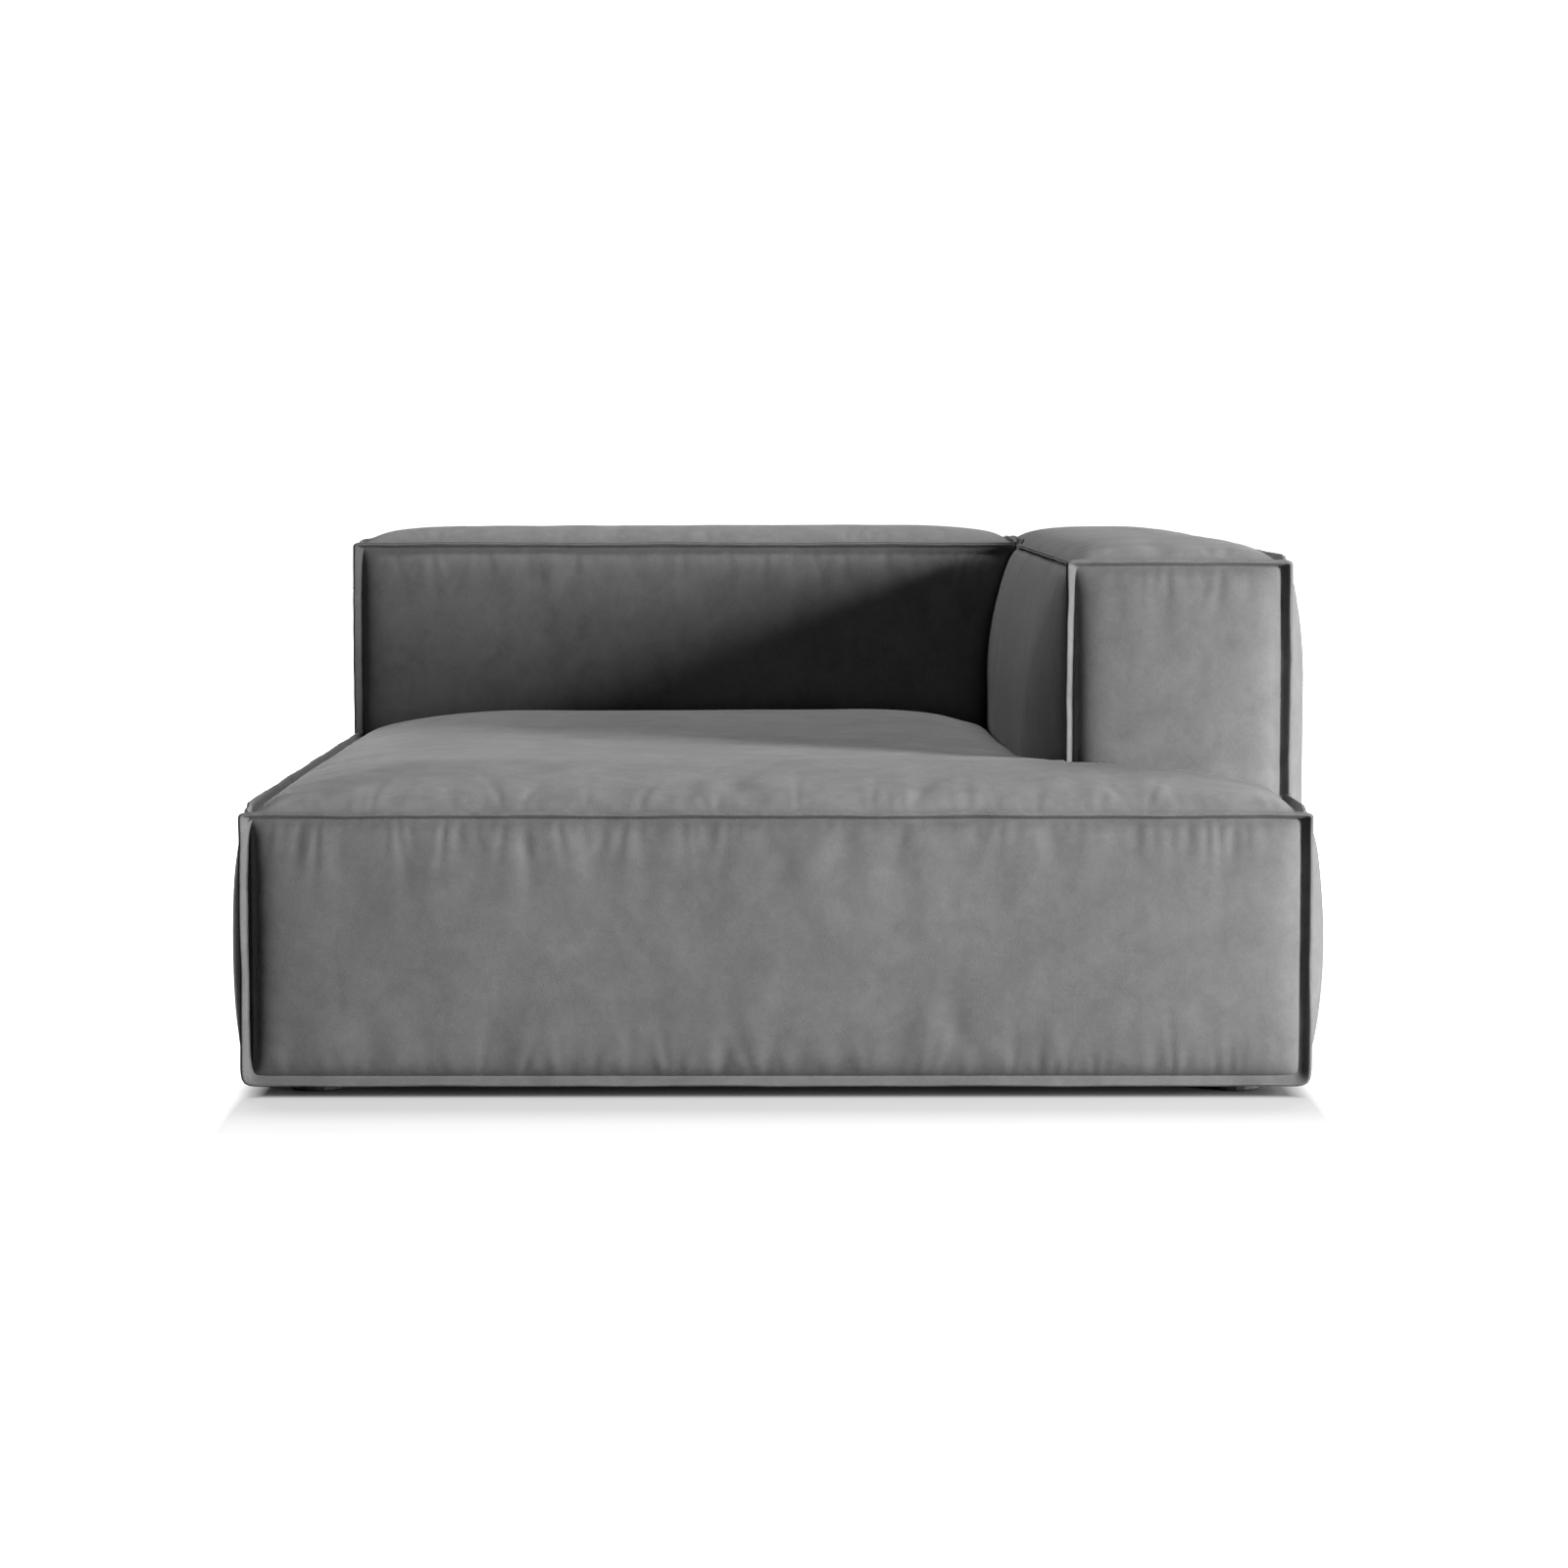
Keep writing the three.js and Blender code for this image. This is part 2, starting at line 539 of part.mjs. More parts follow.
addFittings();
addSeat();
addBack();
addArm();

export default daybed;
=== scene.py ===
import json
import math

import bpy
import numpy as np
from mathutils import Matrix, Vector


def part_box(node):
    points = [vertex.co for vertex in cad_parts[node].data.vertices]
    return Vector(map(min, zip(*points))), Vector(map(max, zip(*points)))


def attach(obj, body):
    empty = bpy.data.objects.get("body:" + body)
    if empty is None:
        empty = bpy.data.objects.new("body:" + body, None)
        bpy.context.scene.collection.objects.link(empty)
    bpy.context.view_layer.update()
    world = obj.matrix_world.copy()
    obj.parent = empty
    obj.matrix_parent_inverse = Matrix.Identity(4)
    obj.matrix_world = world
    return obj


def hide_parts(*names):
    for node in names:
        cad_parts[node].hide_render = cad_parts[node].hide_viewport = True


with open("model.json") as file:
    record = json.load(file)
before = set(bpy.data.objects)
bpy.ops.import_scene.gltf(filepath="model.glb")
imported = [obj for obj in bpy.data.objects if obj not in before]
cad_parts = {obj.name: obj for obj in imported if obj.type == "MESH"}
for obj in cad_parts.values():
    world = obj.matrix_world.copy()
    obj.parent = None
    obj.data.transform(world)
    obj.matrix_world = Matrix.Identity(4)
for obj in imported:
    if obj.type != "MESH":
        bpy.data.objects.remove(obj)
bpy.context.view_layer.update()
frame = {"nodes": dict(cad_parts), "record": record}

# ---------- sizes, in metres ----------

SEAM = 0.0085           # from a seam plane in to the root line of its flange
FLANGE = 0.0125         # width of a flange along each axis that it points to
FLANGE_THICK = 0.0055
GRID = (0.0037, 0.0084, 0.006)   # spacing of the upholstery's mesh along X, Y and Z
SEAM_GRID = 0.005       # the same along Y, close to the front and the rear
SEAM_GRID_REACH = 0.09
TINY = 1e-6             # places closer together than this are the same one
SHEET_INSET = 0.0034    # the dust cloths lie this far inside the seam planes
SEAT_SEAM_Z = 0.352     # heights of the seam planes
TOP_SEAM_Z = 0.654
BASE_SEAM_Z = 0.017
BASE = BASE_SEAM_Z + SEAM        # and of the root lines
SEAT_TOP = SEAT_SEAM_Z - SEAM
BLOCK_TOP = TOP_SEAM_Z - SEAM

seat_low, seat_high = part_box("seat_dust_cloth")
_, back_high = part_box("back_dust_cloth")
arm_low, arm_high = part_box("arm_dust_cloth")
LEFT = seat_low.x - SHEET_INSET
RIGHT = arm_high.x + SHEET_INSET
FRONT = seat_low.y - SHEET_INSET
REAR = arm_high.y + SHEET_INSET
ARM_INNER = back_high.x + SHEET_INSET
ARM_FRONT = arm_low.y - SHEET_INSET
BACK_FRONT = seat_high.y + SHEET_INSET

REACH = 0.25            # a face rises over this distance from its seams
VALLEY = 0.008          # how fast a face leaves the valley beside its seam
PUFF = 0.013            # height that a face gains close to its seams
PUFF_REACH = 0.020      # how fast it does so
UNEVENNESS = 0.0012     # size of a face's slow swell
UNEVEN_WAVES = (0.55, 0.34, 0.23, 0.15, 0.11)    # wavelengths of that swell
UNEVEN_SUM = 1.6        # about how far all its waves reach together
CONTACT_GAP = 0.001
TUCK = 0.010            # how far the seat's top dips where another block stands against it
TUCK_REACH = 0.008
PRESSED_TO = 0.31       # blocks are flat against each other up to this height
FREE_OVER = 0.06        # and swell freely this far above it

SEAT_CROWN = 0.048      # how high each face swells over its seams
BACK_CROWN = 0.023
ARM_CROWN = 0.022
SIDE_BULGE = 0.0355
BACK_END_BULGE = 0.013
ARM_BULGE = 0.042
FRONT_BULGE = 0.025
RETURN_BULGE = 0.0315   # the short side of the seat, in front of the arm
ARM_FRONT_BULGE = 0.010
ARM_FLATTENS = 0.22     # the end of the back presses the arm's swell flat over this distance
ARM_INNER_RISE = 0.20   # that swell grows over this distance down from the top
BEHIND_ARM = 0.06       # the back's front swells as if it went on this far past the arm's face
BACK_END_PUFF = 0.003   # in place of PUFF, on the short left end of the back
BACK_TOP_REACH = (0.15, REACH)      # in place of REACH, along each axis of a face
ARM_TOP_REACH = (0.11, 0.20)
ARM_SIDE_REACH = (REACH, 0.16)
ARM_ROOT = ARM_INNER + 0.005     # root line of the arm's inner seams
ARM_SKIN = ARM_ROOT - SEAM       # where its inner face starts to swell from
BACK_ROOT = ARM_INNER - 0.001    # right end of the back, against the arm


# ---------- camera, light and floor ----------

LENS = 95.3              # millimetres, on a sensor 36 mm wide
CAMERA_DISTANCE = 5.034  # from the front seam plane
CAMERA_HEIGHT = 0.773
CAMERA_DOWN = 4.4        # degrees below level
CAMERA_RIGHT = 0.11      # degrees to the right
BACKDROP = 1.1           # strength of the white that the camera sees
AMBIENT = 0.006          # strength of the light from all round
FLOOR_SIDE = 20.0        # half the side of the floor

# The floor's glow is painted light. It grows with the distance beyond the object: its axis, or both,
# then where the growth starts and ends, and how much it adds. It paints white over all but the shadow
# close to the object. Its fade to none near and under the object is painted shade there, on top of
# the real shadow.
FLOOR_PAINTED_LIGHT_STEPS = [("both", -0.022, 0.0, 0.5), ("both", 0.0, 0.35, 0.14), ("both", 0.25, 0.9, 0.7),
              ("X", 0.0, 0.03, 0.8)]


def make_camera():
    """Looks straight at the front from a little over the seat, with a long lens."""
    data = bpy.data.cameras.new("camera")
    data.sensor_width = 36.0
    data.lens = LENS
    data.clip_end = 100.0
    camera = bpy.data.objects.new("camera", data)
    camera.location = (0.0, FRONT - CAMERA_DISTANCE, CAMERA_HEIGHT)
    camera.rotation_euler = (math.radians(90 - CAMERA_DOWN), 0.0, math.radians(-CAMERA_RIGHT))
    bpy.context.scene.collection.objects.link(camera)
    bpy.context.scene.camera = camera


def area_light(name, place, target, size, power):
    data = bpy.data.lights.new(name, "AREA")
    data.shape = "RECTANGLE"
    data.size, data.size_y = size
    data.energy = power
    light = bpy.data.objects.new(name, data)
    light.location = place
    aim = np.array(target) - np.array(place)
    light.rotation_euler = (math.atan2(math.hypot(aim[0], aim[1]), -aim[2]), 0.0,
                            math.atan2(aim[1], aim[0]) - math.pi / 2)
    bpy.context.scene.collection.objects.link(light)


def make_lights():
    """A tall softbox at the front right, low ones at the right and behind, and a large one
    overhead."""
    area_light("key", (5.4, -4.35, 1.27), (0.0, 0.0, 0.7), (1.6, 2.7), 925)
    area_light("right", (6.0, 0.1, 0.4), (0.0, 0.1, 0.4), (1.0, 0.6), 190)
    area_light("rear", (-2.5, 6.0, 0.5), (0.0, 0.0, 0.4), (2.0, 0.8), 300)
    area_light("overhead", (0.0, 1.5, 6.0), (0.0, 0.2, 0.3), (4.5, 1.9), 335)


def make_world():
    """White behind the object, and almost no light from all round."""
    world = bpy.data.worlds.new("studio")
    bpy.context.scene.world = world
    world.use_nodes = True
    nodes, links = world.node_tree.nodes, world.node_tree.links
    nodes.clear()
    seen = nodes.new("ShaderNodeBackground")
    seen.inputs["Strength"].default_value = BACKDROP
    dim = nodes.new("ShaderNodeBackground")
    dim.inputs["Strength"].default_value = AMBIENT
    path = nodes.new("ShaderNodeLightPath")
    mix = nodes.new("ShaderNodeMixShader")
    out = nodes.new("ShaderNodeOutputWorld")
    for background in (seen, dim):
        background.inputs["Color"].default_value = (1, 1, 1, 1)
    links.new(path.outputs["Is Camera Ray"], mix.inputs["Fac"])
    links.new(dim.outputs[0], mix.inputs[1])
    links.new(seen.outputs[0], mix.inputs[2])
    links.new(mix.outputs[0], out.inputs["Surface"])


def make_floor():
    """A grey floor whose glow is painted light. The glow paints it white away from the object, so
    that it shows only the shadow close to the object, and fades to painted shade near and under it.
    """
    mesh = bpy.data.meshes.new("floor")
    corners = [(x * FLOOR_SIDE, y * FLOOR_SIDE, 0) for x, y in ((-1, -1), (1, -1), (1, 1), (-1, 1))]
    mesh.from_pydata(corners, [], [(0, 1, 2, 3)])
    floor = bpy.data.objects.new("floor", mesh)
    bpy.context.scene.collection.objects.link(floor)
    material, tree, shader = new_material("floor_painted_light")
    shader.inputs["Base Color"].default_value = (0.35, 0.35, 0.35, 1)
    shader.inputs["Roughness"].default_value = 0.9
    shader.inputs["Specular IOR Level"].default_value = 0.0
    shader.inputs["Emission Color"].default_value = (1, 1, 1, 1)
    place = tree.nodes.new("ShaderNodeTexCoord")
    axes = tree.nodes.new("ShaderNodeSeparateXYZ")
    tree.links.new(place.outputs["Object"], axes.inputs["Vector"])
    beyond = {}
    for axis, half in (("X", (RIGHT - LEFT) / 2), ("Y", (REAR - FRONT) / 2)):
        distance = math_node(tree, "ABSOLUTE", axes.outputs[axis], 0.0)
        beyond[axis] = math_node(tree, "SUBTRACT", distance, half)
    beyond["both"] = math_node(tree, "MAXIMUM", beyond["X"], beyond["Y"])
    painted_glow = 0.0
    for axis, near, far, gain in FLOOR_PAINTED_LIGHT_STEPS:
        painted_glow_ramp = tree.nodes.new("ShaderNodeMapRange")
        painted_glow_ramp.inputs["From Min"].default_value = near
        painted_glow_ramp.inputs["From Max"].default_value = far
        painted_glow_ramp.inputs["To Max"].default_value = gain
        tree.links.new(beyond[axis], painted_glow_ramp.inputs["Value"])
        painted_glow = math_node(tree, "ADD", painted_glow, painted_glow_ramp.outputs["Result"])
    # The emission is painted light on the floor, and its fade near and under the object is painted
    # shade.
    tree.links.new(painted_glow, shader.inputs["Emission Strength"])
    mesh.materials.append(material)
    floor.visible_diffuse = False


# ---------- materials ----------

def new_material(name):
    material = bpy.data.materials.new(name)
    material.use_nodes = True
    tree = material.node_tree
    return material, tree, tree.nodes["Principled BSDF"]


def noise(tree, scale, detail=2.0, stretch=(1, 1, 1), distortion=0.0):
    """A noise over the object's own space; stretch squeezes it along an axis."""
    place = tree.nodes.new("ShaderNodeTexCoord")
    mapping = tree.nodes.new("ShaderNodeMapping")
    mapping.inputs["Scale"].default_value = stretch
    texture = tree.nodes.new("ShaderNodeTexNoise")
    texture.inputs["Scale"].default_value = scale
    texture.inputs["Detail"].default_value = detail
    texture.inputs["Distortion"].default_value = distortion
    tree.links.new(place.outputs["Object"], mapping.inputs["Vector"])
    tree.links.new(mapping.outputs["Vector"], texture.inputs["Vector"])
    return texture.outputs["Fac"]


def math_node(tree, operation, a, b):
    node = tree.nodes.new("ShaderNodeMath")
    node.operation = operation
    for socket, value in zip(node.inputs, (a, b)):
        if isinstance(value, (int, float)):
            socket.default_value = value
        else:
            tree.links.new(value, socket)
    return node.outputs["Value"]


def swing(tree, source, amount):
    """1 minus amount to 1 plus amount, as source goes from 0 to 1."""
    scaled = math_node(tree, "MULTIPLY", source, 2 * amount)
    return math_node(tree, "ADD", scaled, 1 - amount)


def tinted(tree, colour, factor):
    """A colour made lighter and darker by a factor."""
    node = tree.nodes.new("ShaderNodeVectorMath")
    node.operation = "SCALE"
    node.inputs[0].default_value = colour
    tree.links.new(factor, node.inputs["Scale"])
    return node.outputs["Vector"]


def bump(tree, height, distance, strength=1.0):
    node = tree.nodes.new("ShaderNodeBump")
    node.inputs["Strength"].default_value = strength
    node.inputs["Distance"].default_value = distance
    tree.links.new(height, node.inputs["Height"])
    return node.outputs["Normal"]


VELVET_GREY = (0.17, 0.17, 0.17)

# A wave node at scale 1 has 20 / (2 pi) bands to the metre, and a band stands for about two threads.
THREADS_AT_SCALE_1 = 2 * math.pi


def velvet():
    """Short grey pile: mottled where the nap has been brushed, soft sheen, no gloss."""
    material, tree, shader = new_material("velvet")
    factor = swing(tree, noise(tree, 7.0, 6.0, distortion=1.2), 0.20)
    layers = [(noise(tree, 24.0, 4.0, stretch=(1, 1, 0.8), distortion=0.8), 0.22),
              (noise(tree, 75.0, 3.0, distortion=1.0), 0.12),
              (noise(tree, 260.0, 2.0), 0.08), (noise(tree, 900.0, 2.0), 0.12)]
    for layer, amount in layers:
        factor = math_node(tree, "MULTIPLY", factor, swing(tree, layer, amount))
    tree.links.new(tinted(tree, VELVET_GREY, factor), shader.inputs["Base Color"])
    shader.inputs["Roughness"].default_value = 0.9
    shader.inputs["Specular IOR Level"].default_value = 0.15
    shader.inputs["Sheen Weight"].default_value = 0.1
    shader.inputs["Sheen Roughness"].default_value = 0.45
    shader.inputs["Sheen Tint"].default_value = (0.8, 0.8, 0.8, 1)
    tree.links.new(bump(tree, noise(tree, 650.0, 3.0), 0.0006, 0.5), shader.inputs["Normal"])
    return material


def foam(name, colour):
    """Open-cell foam: pale, full of small pits."""
    material, tree, shader = new_material(name)
    cells = tree.nodes.new("ShaderNodeTexVoronoi")
    cells.inputs["Scale"].default_value = 500.0
    place = tree.nodes.new("ShaderNodeTexCoord")
    tree.links.new(place.outputs["Object"], cells.inputs["Vector"])
    factor = swing(tree, cells.outputs["Distance"], 0.12)
    tree.links.new(tinted(tree, colour, factor), shader.inputs["Base Color"])
    shader.inputs["Roughness"].default_value = 0.95
    tree.links.new(bump(tree, cells.outputs["Distance"], 0.001), shader.inputs["Normal"])
    return material


def timber(name, colour, grain):
    """Sawn wood: long dark grain lines, with the grain along the stretch axis."""
    material, tree, shader = new_material(name)
    lines = swing(tree, noise(tree, 30.0, 5.0, stretch=grain, distortion=1.5), 0.35)
    pores = swing(tree, noise(tree, 200.0, 2.0, stretch=grain), 0.12)
    factor = math_node(tree, "MULTIPLY", lines, pores)
    tree.links.new(tinted(tree, colour, factor), shader.inputs["Base Color"])
    shader.inputs["Roughness"].default_value = 0.7
    tree.links.new(bump(tree, pores, 0.0005), shader.inputs["Normal"])
    return material


def woven(name, colour, threads):
    """Coarse cloth: two crossing sets of threads, threads to the metre."""
    material, tree, shader = new_material(name)
    place = tree.nodes.new("ShaderNodeTexCoord")
    height = None
    for direction in ("X", "Y"):
        wave = tree.nodes.new("ShaderNodeTexWave")
        wave.bands_direction = direction
        wave.inputs["Scale"].default_value = threads / THREADS_AT_SCALE_1
        wave.inputs["Distortion"].default_value = 0.6
        tree.links.new(place.outputs["Object"], wave.inputs["Vector"])
        value = wave.outputs["Fac"]
        height = value if height is None else math_node(tree, "MULTIPLY", height, value)
    factor = swing(tree, height, 0.3)
    tree.links.new(tinted(tree, colour, factor), shader.inputs["Base Color"])
    shader.inputs["Roughness"].default_value = 0.92
    tree.links.new(bump(tree, height, 0.0006), shader.inputs["Normal"])
    return material


def moulded(name, colour):
    """Black moulded plastic with a fine spark-eroded texture."""
    material, tree, shader = new_material(name)
    factor = swing(tree, noise(tree, 90.0, 3.0), 0.25)
    tree.links.new(tinted(tree, colour, factor), shader.inputs["Base Color"])
    shader.inputs["Roughness"].default_value = 0.5
    tree.links.new(bump(tree, noise(tree, 1500.0, 2.0), 0.0003), shader.inputs["Normal"])
    return material


def steel(name):
    """Zinc-plated steel, slightly uneven."""
    material, tree, shader = new_material(name)
    factor = swing(tree, noise(tree, 120.0, 3.0), 0.15)
    tree.links.new(tinted(tree, (0.55, 0.56, 0.57), factor), shader.inputs["Base Color"])
    shader.inputs["Metallic"].default_value = 1.0
    shader.inputs["Roughness"].default_value = 0.35
    tree.links.new(bump(tree, noise(tree, 900.0, 2.0), 0.0002), shader.inputs["Normal"])
    return material


# ---------- upholstered blocks ----------

def smooth(value):
    share = np.clip(value, 0.0, 1.0)
    return share * share * (3 - 2 * share)


def rise(distance, reach=REACH):
    """0 on a seam, 1 from reach onwards."""
    return 1 - (1 - np.clip(distance / reach, 0.0, 1.0)) ** 2


def crown(value, low, high, reach):
    """Share of a face's full height at a place between its two seams."""
    reach = min(reach, (high - low) / 2)
    return rise(value - low, reach) * rise(high - value, reach)


def off_seams(value, low, high, reach):
    """0 on the seams of a face, and 1 a little way in from them."""
    return (1 - np.exp(-(value - low) / reach)) * (1 - np.exp(-(high - value) / reach))


def grid_lines(axis, low, high, extra=()):
    """Places from low to high, about the grid's spacing apart, with one on each extra place."""
    if axis == 1:
        extra = [*extra, low + SEAM_GRID_REACH, high - SEAM_GRID_REACH]
    stops = sorted({low, high, *[place for place in extra if low < place < high]})
    made = [low]
    for start, end in zip(stops, stops[1:]):
        beside_seam = axis == 1 and (start < low + TINY or end > high - TINY)
        count = max(1, round((end - start) / (SEAM_GRID if beside_seam else GRID[axis])))
        made.extend(start + (end - start) * (i + 1) / count for i in range(count))
    return np.array(made)


def box_surface(xs, ys, zs, filled, outline):
    """Vertices and quads of the top and the upright walls of a block, and the rim of its underside.
    filled says for each cell between the lines xs and ys whether the block is there. outline holds
    the plan's corners as indices into xs and ys, seen anticlockwise from above."""
    counts = (len(xs), len(ys), len(zs))
    columns, rows = np.nonzero(filled)
    levels = np.arange(counts[2] - 1)

    def code(i, j, k):
        return (i * counts[1] + j) * counts[2] + k

    quads = [np.stack([code(columns + a, rows + b, counts[2] - 1)
                       for a, b in ((0, 0), (1, 0), (1, 1), (0, 1))], axis=1)]
    padded = np.pad(filled, 1)
    walls = [  # neighbour in the plan, then the wall's two lower corners, seen from outside
        ((1, 0), (1, 0), (1, 1)), ((-1, 0), (0, 1), (0, 0)),
        ((0, 1), (1, 1), (0, 1)), ((0, -1), (0, 0), (1, 0))]
    for (side, ahead), start, end in walls:
        open_side = ~padded[columns + 1 + side, rows + 1 + ahead]
        i, j = columns[open_side][:, None], rows[open_side][:, None]
        k = levels[None, :]
        wall = [code(i + start[0], j + start[1], k), code(i + end[0], j + end[1], k),
                code(i + end[0], j + end[1], k + 1), code(i + start[0], j + start[1], k + 1)]
        quads.append(np.stack([corner.ravel() for corner in wall], axis=1))
    codes, faces = np.unique(np.concatenate(quads), return_inverse=True)
    faces = faces.reshape(-1, 4)
    rim = []
    for (i, j), (i_next, j_next) in zip(outline, outline[1:] + outline[:1]):
        steps = max(abs(i_next - i), abs(j_next - j))
        rim.extend(code(i + (i_next - i) * n // steps, j + (j_next - j) * n // steps, 0)
                   for n in range(steps))
    rim = np.searchsorted(codes, rim[::-1])
    i, rest = np.divmod(codes, counts[1] * counts[2])
    j, k = np.divmod(rest, counts[2])
    return np.stack([xs[i], ys[j], zs[k]], axis=1), faces, rim


def crease(offset, width):
    """A groove with the cloth raised on both sides of it, so that it holds its level on the whole."""
    share = (offset / width) ** 2
    return (1 - share) * np.exp(-0.5 * share)


PUCKER_HEIGHT = 0.0017
PUCKER_SHORTEST = 0.012         # most puckers are short, and a few run in further
PUCKER_EXTRA = 0.055
PUCKER_WIDTH = (0.0034, 0.0024)     # the least width, and how much more there may be
PUCKER_SPACING = (0.009, 0.023)
PUCKER_START = 0.005            # a pucker deepens over this distance from its seam
PUCKER_ASIDE = 0.06             # it changes nothing further off to its side than this
FOLD_HEIGHT = 0.0020
FOLD_REACH = (0.04, 0.12)
FOLD_WIDTH = (0.010, 0.020)
FOLD_SPACING = (0.04, 0.10)
FOLD_START = 0.012
GATHERS_FADE = 0.05             # gathers fade out over this distance from the ends of a seam


def puckers(along, depth, length, seed, strength=1.0):
    """Short gathers that run in from a seam. along and depth are a point's distance along the seam
    and in from it. The result is how far the cloth is drawn in there."""
    draw = np.random.default_rng(seed)
    pulled = np.zeros_like(along)
    place = draw.uniform(0.01, 0.03)
    while place < length - 0.01:
        reach = PUCKER_SHORTEST + PUCKER_EXTRA * draw.random() ** 2.5
        width = PUCKER_WIDTH[0] + PUCKER_WIDTH[1] * draw.random()
        height = strength * draw.uniform(0.35, 1.0) * PUCKER_HEIGHT
        lean = draw.normal(0.0, 0.15)
        near = (np.abs(along - place) < PUCKER_ASIDE) & (depth < 3 * reach)
        s, d = along[near] - place, depth[near]
        shape = crease(s - lean * d, width * (1 + 0.8 * d / reach))
        shape = height * shape * (1 - np.exp(-d / PUCKER_START))
        pulled[near] += shape * np.exp(-(d / reach) ** 1.5)
        place += draw.uniform(*PUCKER_SPACING)
    return pulled


def folds(along, depth, length, seed, strength=1.0):
    """Longer and softer gathers, some way apart."""
    draw = np.random.default_rng(seed)
    pulled = np.zeros_like(along)
    place = draw.uniform(0.03, 0.07)
    while place < length - 0.03:
        reach = draw.uniform(*FOLD_REACH)
        width = draw.uniform(*FOLD_WIDTH)
        height = strength * draw.uniform(0.3, 1.0) * FOLD_HEIGHT
        lean = draw.normal(0.0, 0.25)
        shape = crease(along - place - lean * depth, width * (1 + 0.6 * depth / reach))
        shape = height * shape * (1 - np.exp(-depth / FOLD_START))
        pulled += shape * np.exp(-(depth / reach) ** 2)
        place += draw.uniform(*FOLD_SPACING)
    return pulled


def unevenness(points, seed, size):
    """A slow swell of the cloth, up to about size, from a few crossed waves."""
    draw = np.random.default_rng(seed)
    total = np.zeros(len(points))
    for wavelength in UNEVEN_WAVES:
        for _ in range(3):
            direction = draw.normal(size=3)
            direction /= np.linalg.norm(direction)
            phase = draw.uniform(0, 2 * math.pi)
            wave = np.sin(2 * math.pi * (points @ direction) / wavelength + phase)
            total += wave * wavelength
    return size * total / UNEVEN_SUM


def gathers(u, v, first, second, seams, seed):
    """How far the puckers and folds along the named seams of a face draw it in."""
    _, a_low, a_high = first
    _, b_low, b_high = second
    sides = {"low_a": (v - b_low, u - a_low, b_high - b_low),
             "high_a": (v - b_low, a_high - u, b_high - b_low),
             "low_b": (u - a_low, v - b_low, a_high - a_low),
             "high_b": (u - a_low, b_high - v, a_high - a_low)}
    total = np.zeros_like(u)
    for number, (side, strength) in enumerate(seams.items()):
        along, depth, length = sides[side]
        ends = smooth(along / GATHERS_FADE) * smooth((length - along) / GATHERS_FADE)
        drawn = (puckers(along, depth, length, seed * 10 + number, strength)
                 + folds(along, depth, length, seed * 10 + number + 5, strength))
        total += drawn * ends
    return total


def skin_height(points, first, second, seams, seed, puff=PUFF):
    """Height over its root plane of a face that is otherwise flat. first and second are its two
    axes, each (axis, low, high). seams says which edges are gathered, and how strongly."""
    (a, a_low, a_high), (b, b_low, b_high) = first, second
    u, v = points[:, a], points[:, b]
    edge = off_seams(u, a_low, a_high, VALLEY) * off_seams(v, b_low, b_high, VALLEY)
    level = (SEAM + unevenness(points, seed, UNEVENNESS)) * edge
    level += puff * off_seams(u, a_low, a_high, PUFF_REACH) * off_seams(v, b_low, b_high, PUFF_REACH)
    return level - gathers(u, v, first, second, seams, seed) * edge


def swollen(points, first, second, bulge, seams, seed, reach=(REACH, REACH), puff=PUFF):
    """The same for a face that swells by bulge over its seams, over a reach along each axis."""
    (a, a_low, a_high), (b, b_low, b_high) = first, second
    share = crown(points[:, a], a_low, a_high, reach[0])
    share = share * crown(points[:, b], b_low, b_high, reach[1])
    return skin_height(points, first, second, seams, seed, puff) + (bulge - puff) * share


def make_mesh(name, points, faces, material=None):
    """An object made of numpy points and a list of faces, shaded smooth."""
    mesh = bpy.data.meshes.new(name)
    mesh.from_pydata(points.tolist(), [], faces)
    mesh.polygons.foreach_set("use_smooth", np.ones(len(mesh.polygons), bool))
    if material:
        mesh.materials.append(material)
    mesh.update()
    piece = bpy.data.objects.new(name, mesh)
    bpy.context.scene.collection.objects.link(piece)
    return piece


def upholstery(name, points, faces, rim, material):
    """The finished block: its settled cover, closed by a flat underside."""
    piece = make_mesh(name, points, faces.tolist() + [rim.tolist()], material)
    piece.data.polygons[-1].use_smooth = False
    return piece


# ---------- cloth ----------

SETTLE_FRAMES = 14
SLACK = 0.07            # how much longer than its place the cloth is beside a gathered seam
SLACK_REACH = 0.055
MOST_MOVE = 0.007       # how far a point may settle
NO_MOVE = 1e-9          # a shorter move counts as none
SEWN = 0.001            # cloth this close to a seam doesn't move at all
FILLING_HOLD = 0.42     # how firmly the filling holds the cloth away from the seams: 1 is fixed
SEAM_HOLD_REACH = 0.004
PRESSED_REACH = 0.055   # the seat's cover is held still this close to the other blocks


def seam_distance(points, low, high):
    """Distance of each point of a block's surface from the nearest edge of its box."""
    inside = np.minimum(points - np.array(low), np.array(high) - points)
    return np.sort(inside, axis=1)[:, 1]


